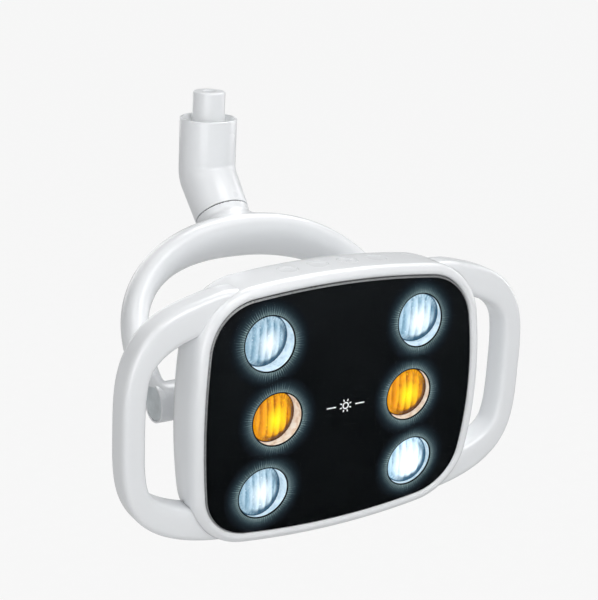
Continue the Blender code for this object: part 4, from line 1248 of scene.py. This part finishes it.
def strokes(lines, width, place, thickness=0.03):
    """A bmesh of flat strokes; place(x, y, lift) gives a point on the surface they lie on."""
    bm = bmesh.new()
    for line in lines:
        points = [Vector(p) for p in line]
        loop = (points[0] - points[-1]).length < 1e-6
        if loop:
            points = points[:-1]
        count = len(points)
        rows = []
        for i, p in enumerate(points):
            before = points[i - 1] if (i or loop) else p
            after = points[(i + 1) % count] if (i < count - 1 or loop) else p
            side = Vector((-(after - before).y, (after - before).x)).normalized() * width / 2
            rows.append([place(*(p - side), 0), place(*(p + side), 0),
                         place(*(p + side), thickness), place(*(p - side), thickness)])
        loft(rows, loop, bm)
    return bm


def arc(radius, start, end, steps=32, centre=(0, 0)):
    """Points of an arc, in degrees; a full circle ends where it starts."""
    angles = [radians(start + (end - start) * k / steps) for k in range(steps + 1)]
    made = [(centre[0] + radius * cos(a), centre[1] + radius * sin(a)) for a in angles]
    if abs(end - start) == 360:
        made[-1] = made[0]
    return made


def spokes(count, inner, outer, centre=(0, 0), turn=0.0):
    made = []
    for k in range(count):
        a = radians(turn) + 2 * pi * k / count
        made.append([(centre[0] + r * cos(a), centre[1] + r * sin(a))
                     for r in (inner, outer)])
    return made


def make_panel_mark():
    """A plain light symbol between two short bars, at the middle of the panel."""
    lines = [arc(1.9, 0, 360, 32)] + spokes(8, 2.9, 4.3, turn=22.5)
    lines += [[(side * 7.0, 0), (side * 13.5, 0)] for side in (-1, 1)]
    bm = strokes(lines, 0.62, lambda x, z, lift: on_print(x, z, 0.03 + lift))
    make_piece("panel_light_mark", "head", "window_mask", bm, [MARK_PRINT], HEAD)


# ---------------------------------------------------------------- lamp modules

GLOW = {"upper_left": 0.86, "middle_left": 0.80, "lower_left": 0.92,
        "upper_right": 1.0, "middle_right": 0.80, "lower_right": 1.32}


def module_place(window, aim):
    """Origin at the middle of the lens rim, +Z along the beam, in the head's frame."""
    surface = Vector((window.x, crown(window.x, window.z), window.z))
    return along(aim, surface - aim * LENS_DEPTH)


def make_lens(name, window, aim):
    """A lens with upright flutes, a ring of prisms at its edge and a plain rim."""
    radius, flange, rows, sides, facets = 15.9, 14.2, 44, 180, 42
    bm, spots, ridges = bmesh.new(), [], []

    def add(r, angle, z, ridge):
        x, y = r * cos(angle), r * sin(angle)
        spots.append((x / radius, y / radius, r / radius))
        ridges.append(ridge)
        return bm.verts.new((x, y, z))

    rings = []
    for row in range(rows + 1):
        r = 0.15 + (radius - 0.15) * row / rows
        ring = []
        for i in range(sides):
            angle = 2 * pi * i / sides
            x = r * cos(angle)
            phase = x / FLUTE_PITCH % 1.0
            scallop = 1 - (2 * phase - 1) ** 2
            fade = min(1.0, max(0.0, (flange - r) / 1.2))
            dome = 1.6 * (1 - (r / radius) ** 2)
            prism = abs((angle * facets / (2 * pi)) % 1.0 - 0.5) * 2
            on_flange = 1.0 if r > flange else 0.0
            z = dome + 0.75 * scallop * fade + on_flange * (0.35 * prism - 0.25)
            ridge = fade * (0.15 + 0.85 * phase) * (0.35 + 0.65 * scallop) + (1 - fade) * (
                0.25 + 0.6 * prism)
            ring.append(add(r, angle, z, ridge))
        rings.append(ring)
    for r, z in ((16.25, -0.5), (16.3, -4.0)):
        rings.append([add(r, 2 * pi * i / sides, z, 0.2) for i in range(sides)])
    hub = add(0, 0, 1.6 + 0.2, 0.5)
    back = add(0, 0, -4.0, 0.2)
    for inner, outer in zip(rings, rings[1:]):
        for i in range(sides):
            j = (i + 1) % sides
            bm.faces.new((inner[i], outer[i], outer[j], inner[j]))
    for i in range(sides):
        j = (i + 1) % sides
        bm.faces.new((hub, rings[0][i], rings[0][j]))
        bm.faces.new((back, rings[-1][j], rings[-1][i]))
    material, slot = (AMBER_LENS, "amber_lens") if "middle" in name else (COOL_LENS, "clear_lens")
    place = HEAD @ module_place(window, aim)
    lens = make_piece("fluted_lens_" + name, "head", slot, bm, [material], place,
                      ["lens_" + name], 30)
    spot = lens.data.attributes.new("spot", "FLOAT_VECTOR", "POINT")
    spot.data.foreach_set("vector", np.array(spots, np.float32).ravel())
    with_level(lens, "ridge", ridges)
    with_level(lens, "glow", [GLOW[name]] * len(spots))


def make_cup(name, window, aim):
    """The recess wall between a lens and its window, trimmed to the back of the print."""
    place = module_place(window, aim)
    sides, outer, inner = 120, 18.2, 16.75
    stop = PRINT_BACK + 0.05
    profile = [                      # radius, height and depth level, which sets the painted shade; None: up to the print
        (outer, None, 0.0), (outer, -5.5, 0.6), (7.5, -17.5, 1), (5.0, -17.5, 1),
        (15.0, -6.5, 1), (15.0, -4.3, 0.9), (inner, -4.3, 0.9), (inner, -1.0, 0.6),
        (inner, 1.5, 0.35), (inner, None, 0.0)]

    def at_print(x, y):
        height = 8.0
        for _ in range(3):
            p = place @ Vector((x, y, height))
            height += (p.y - crown(p.x, p.z) - stop) / -aim.y
        return height

    rings = [[(x, y, at_print(x, y) if z is None else z) for x, y in circle(r, sides)]
             for r, z, _ in profile]
    material, slot = (WARM_WALL, "warm_cup") if "middle" in name else (COOL_WALL, "cool_cup")
    cup = make_piece("recess_wall_" + name, "head", slot, loft(rings, closed=True), [material],
                     HEAD @ place, ["lens_cup_" + name], 40)
    with_level(cup, "depth", [depth for _, _, depth in profile for _ in range(sides)])


def make_modules():
    for name, window, aim in MODULES:
        make_lens(name, window, aim)
        make_cup(name, window, aim)


# ---------------------------------------------------------------- keys

def key_symbols():
    """Line symbols for the four keys: on and off, dimmer, brighter, colour of the light."""
    power = [arc(2.2, 120, 420, 40), [(0, 0.6), (0, 2.9)]]
    dimmer = [arc(1.1, 0, 360, 24)] + spokes(8, 1.8, 2.3) + [[(-1.0, -3.9), (1.0, -3.9)]]
    brighter = [arc(1.1, 0, 360, 24)] + spokes(8, 1.9, 3.0)
    colour = [arc(1.5, 0, 360, 28, (-0.9, 0)), arc(1.5, 0, 360, 28, (0.9, 0))]
    return dict(zip(KEYS, (power, dimmer, brighter, colour)))


def make_keys():
    """Keys flush with the shell, each with a shallow dish, a fine ring and its symbol."""
    symbols = key_symbols()
    lift, flange_r, sides = 0.05, 7.4, 72
    for index, word in enumerate(KEYS):
        x0 = key_place(index)

        def surface(x, y, up):
            away = hypot(x, y) / KEY_TOP_R
            dish = 0.22 * max(0.0, 1 - away ** 2)
            edge = 0.25 * max(0.0, (away - 0.93) / 0.07) ** 2
            height = top_height(x0 + x, KEY_Y + y) - lift - dish - edge
            return Vector((x0 + x, KEY_Y + y, height + up))

        rings = [[surface(x, y, 0) for x, y in circle(KEY_TOP_R * share, sides)]
                 for share in (0.05, 0.3, 0.55, 0.75, 0.88, 0.93, 0.955, 0.98, 1.0)]
        rings += [[(x0 + x, KEY_Y + y, z) for x, y in circle(r, sides)]
                  for r, z in ((KEY_TOP_R, 79.7), (flange_r, 79.7), (flange_r, 78.3))]
        body = "key_" + word
        make_piece("touch_" + body, body, "key_cap", loft(rings), [KEY_WHITE], HEAD, [body], 40)
        lines = symbols[word] + [arc(5.4, 0, 360, 56)]
        ink = strokes(lines, 0.26, surface)
        make_piece("symbol_" + word, body, "key_cap", ink, [KEY_PRINT], HEAD)


# ---------------------------------------------------------------- carried-over nodes

NODE_FINISHES = {
    "spigot_circlip": SPRING_STEEL, "neck_circlip": SPRING_STEEL, "disc_spring": SPRING_STEEL,
    "thrust_washer": STEEL, "neck_shaft": STEEL, "pivot_bolt": STEEL, "tilt_bracket": STEEL,
    "handle_screw": STEEL, "lower_bushing": NYLON, "glass_seal": RUBBER,
    "heat_sink": ALUMINIUM, "driver_board": CIRCUIT, "key_board": CIRCUIT,
    "led_board": LED_BOARD,
}


def finish_nodes():
    """Gives every frame node that still shows its own node material."""
    for name, node in frame["nodes"].items():
        if node.hide_render:
            continue
        found = [finish for start, finish in NODE_FINISHES.items() if name.startswith(start)]
        if not found:
            raise RuntimeError("no finish for " + name)
        for slot in node.material_slots:
            slot.material = found[0]


make_camera()
make_studio()
make_spigot()
make_elbow()
make_yoke()
make_pivots()
make_swivel_seal()
make_housing()
make_handles()
make_rear_cover()
make_cover_screws()
make_glass()
make_print()
halo_haze()
halo_rays()
make_panel_mark()
make_modules()
make_keys()
finish_nodes()
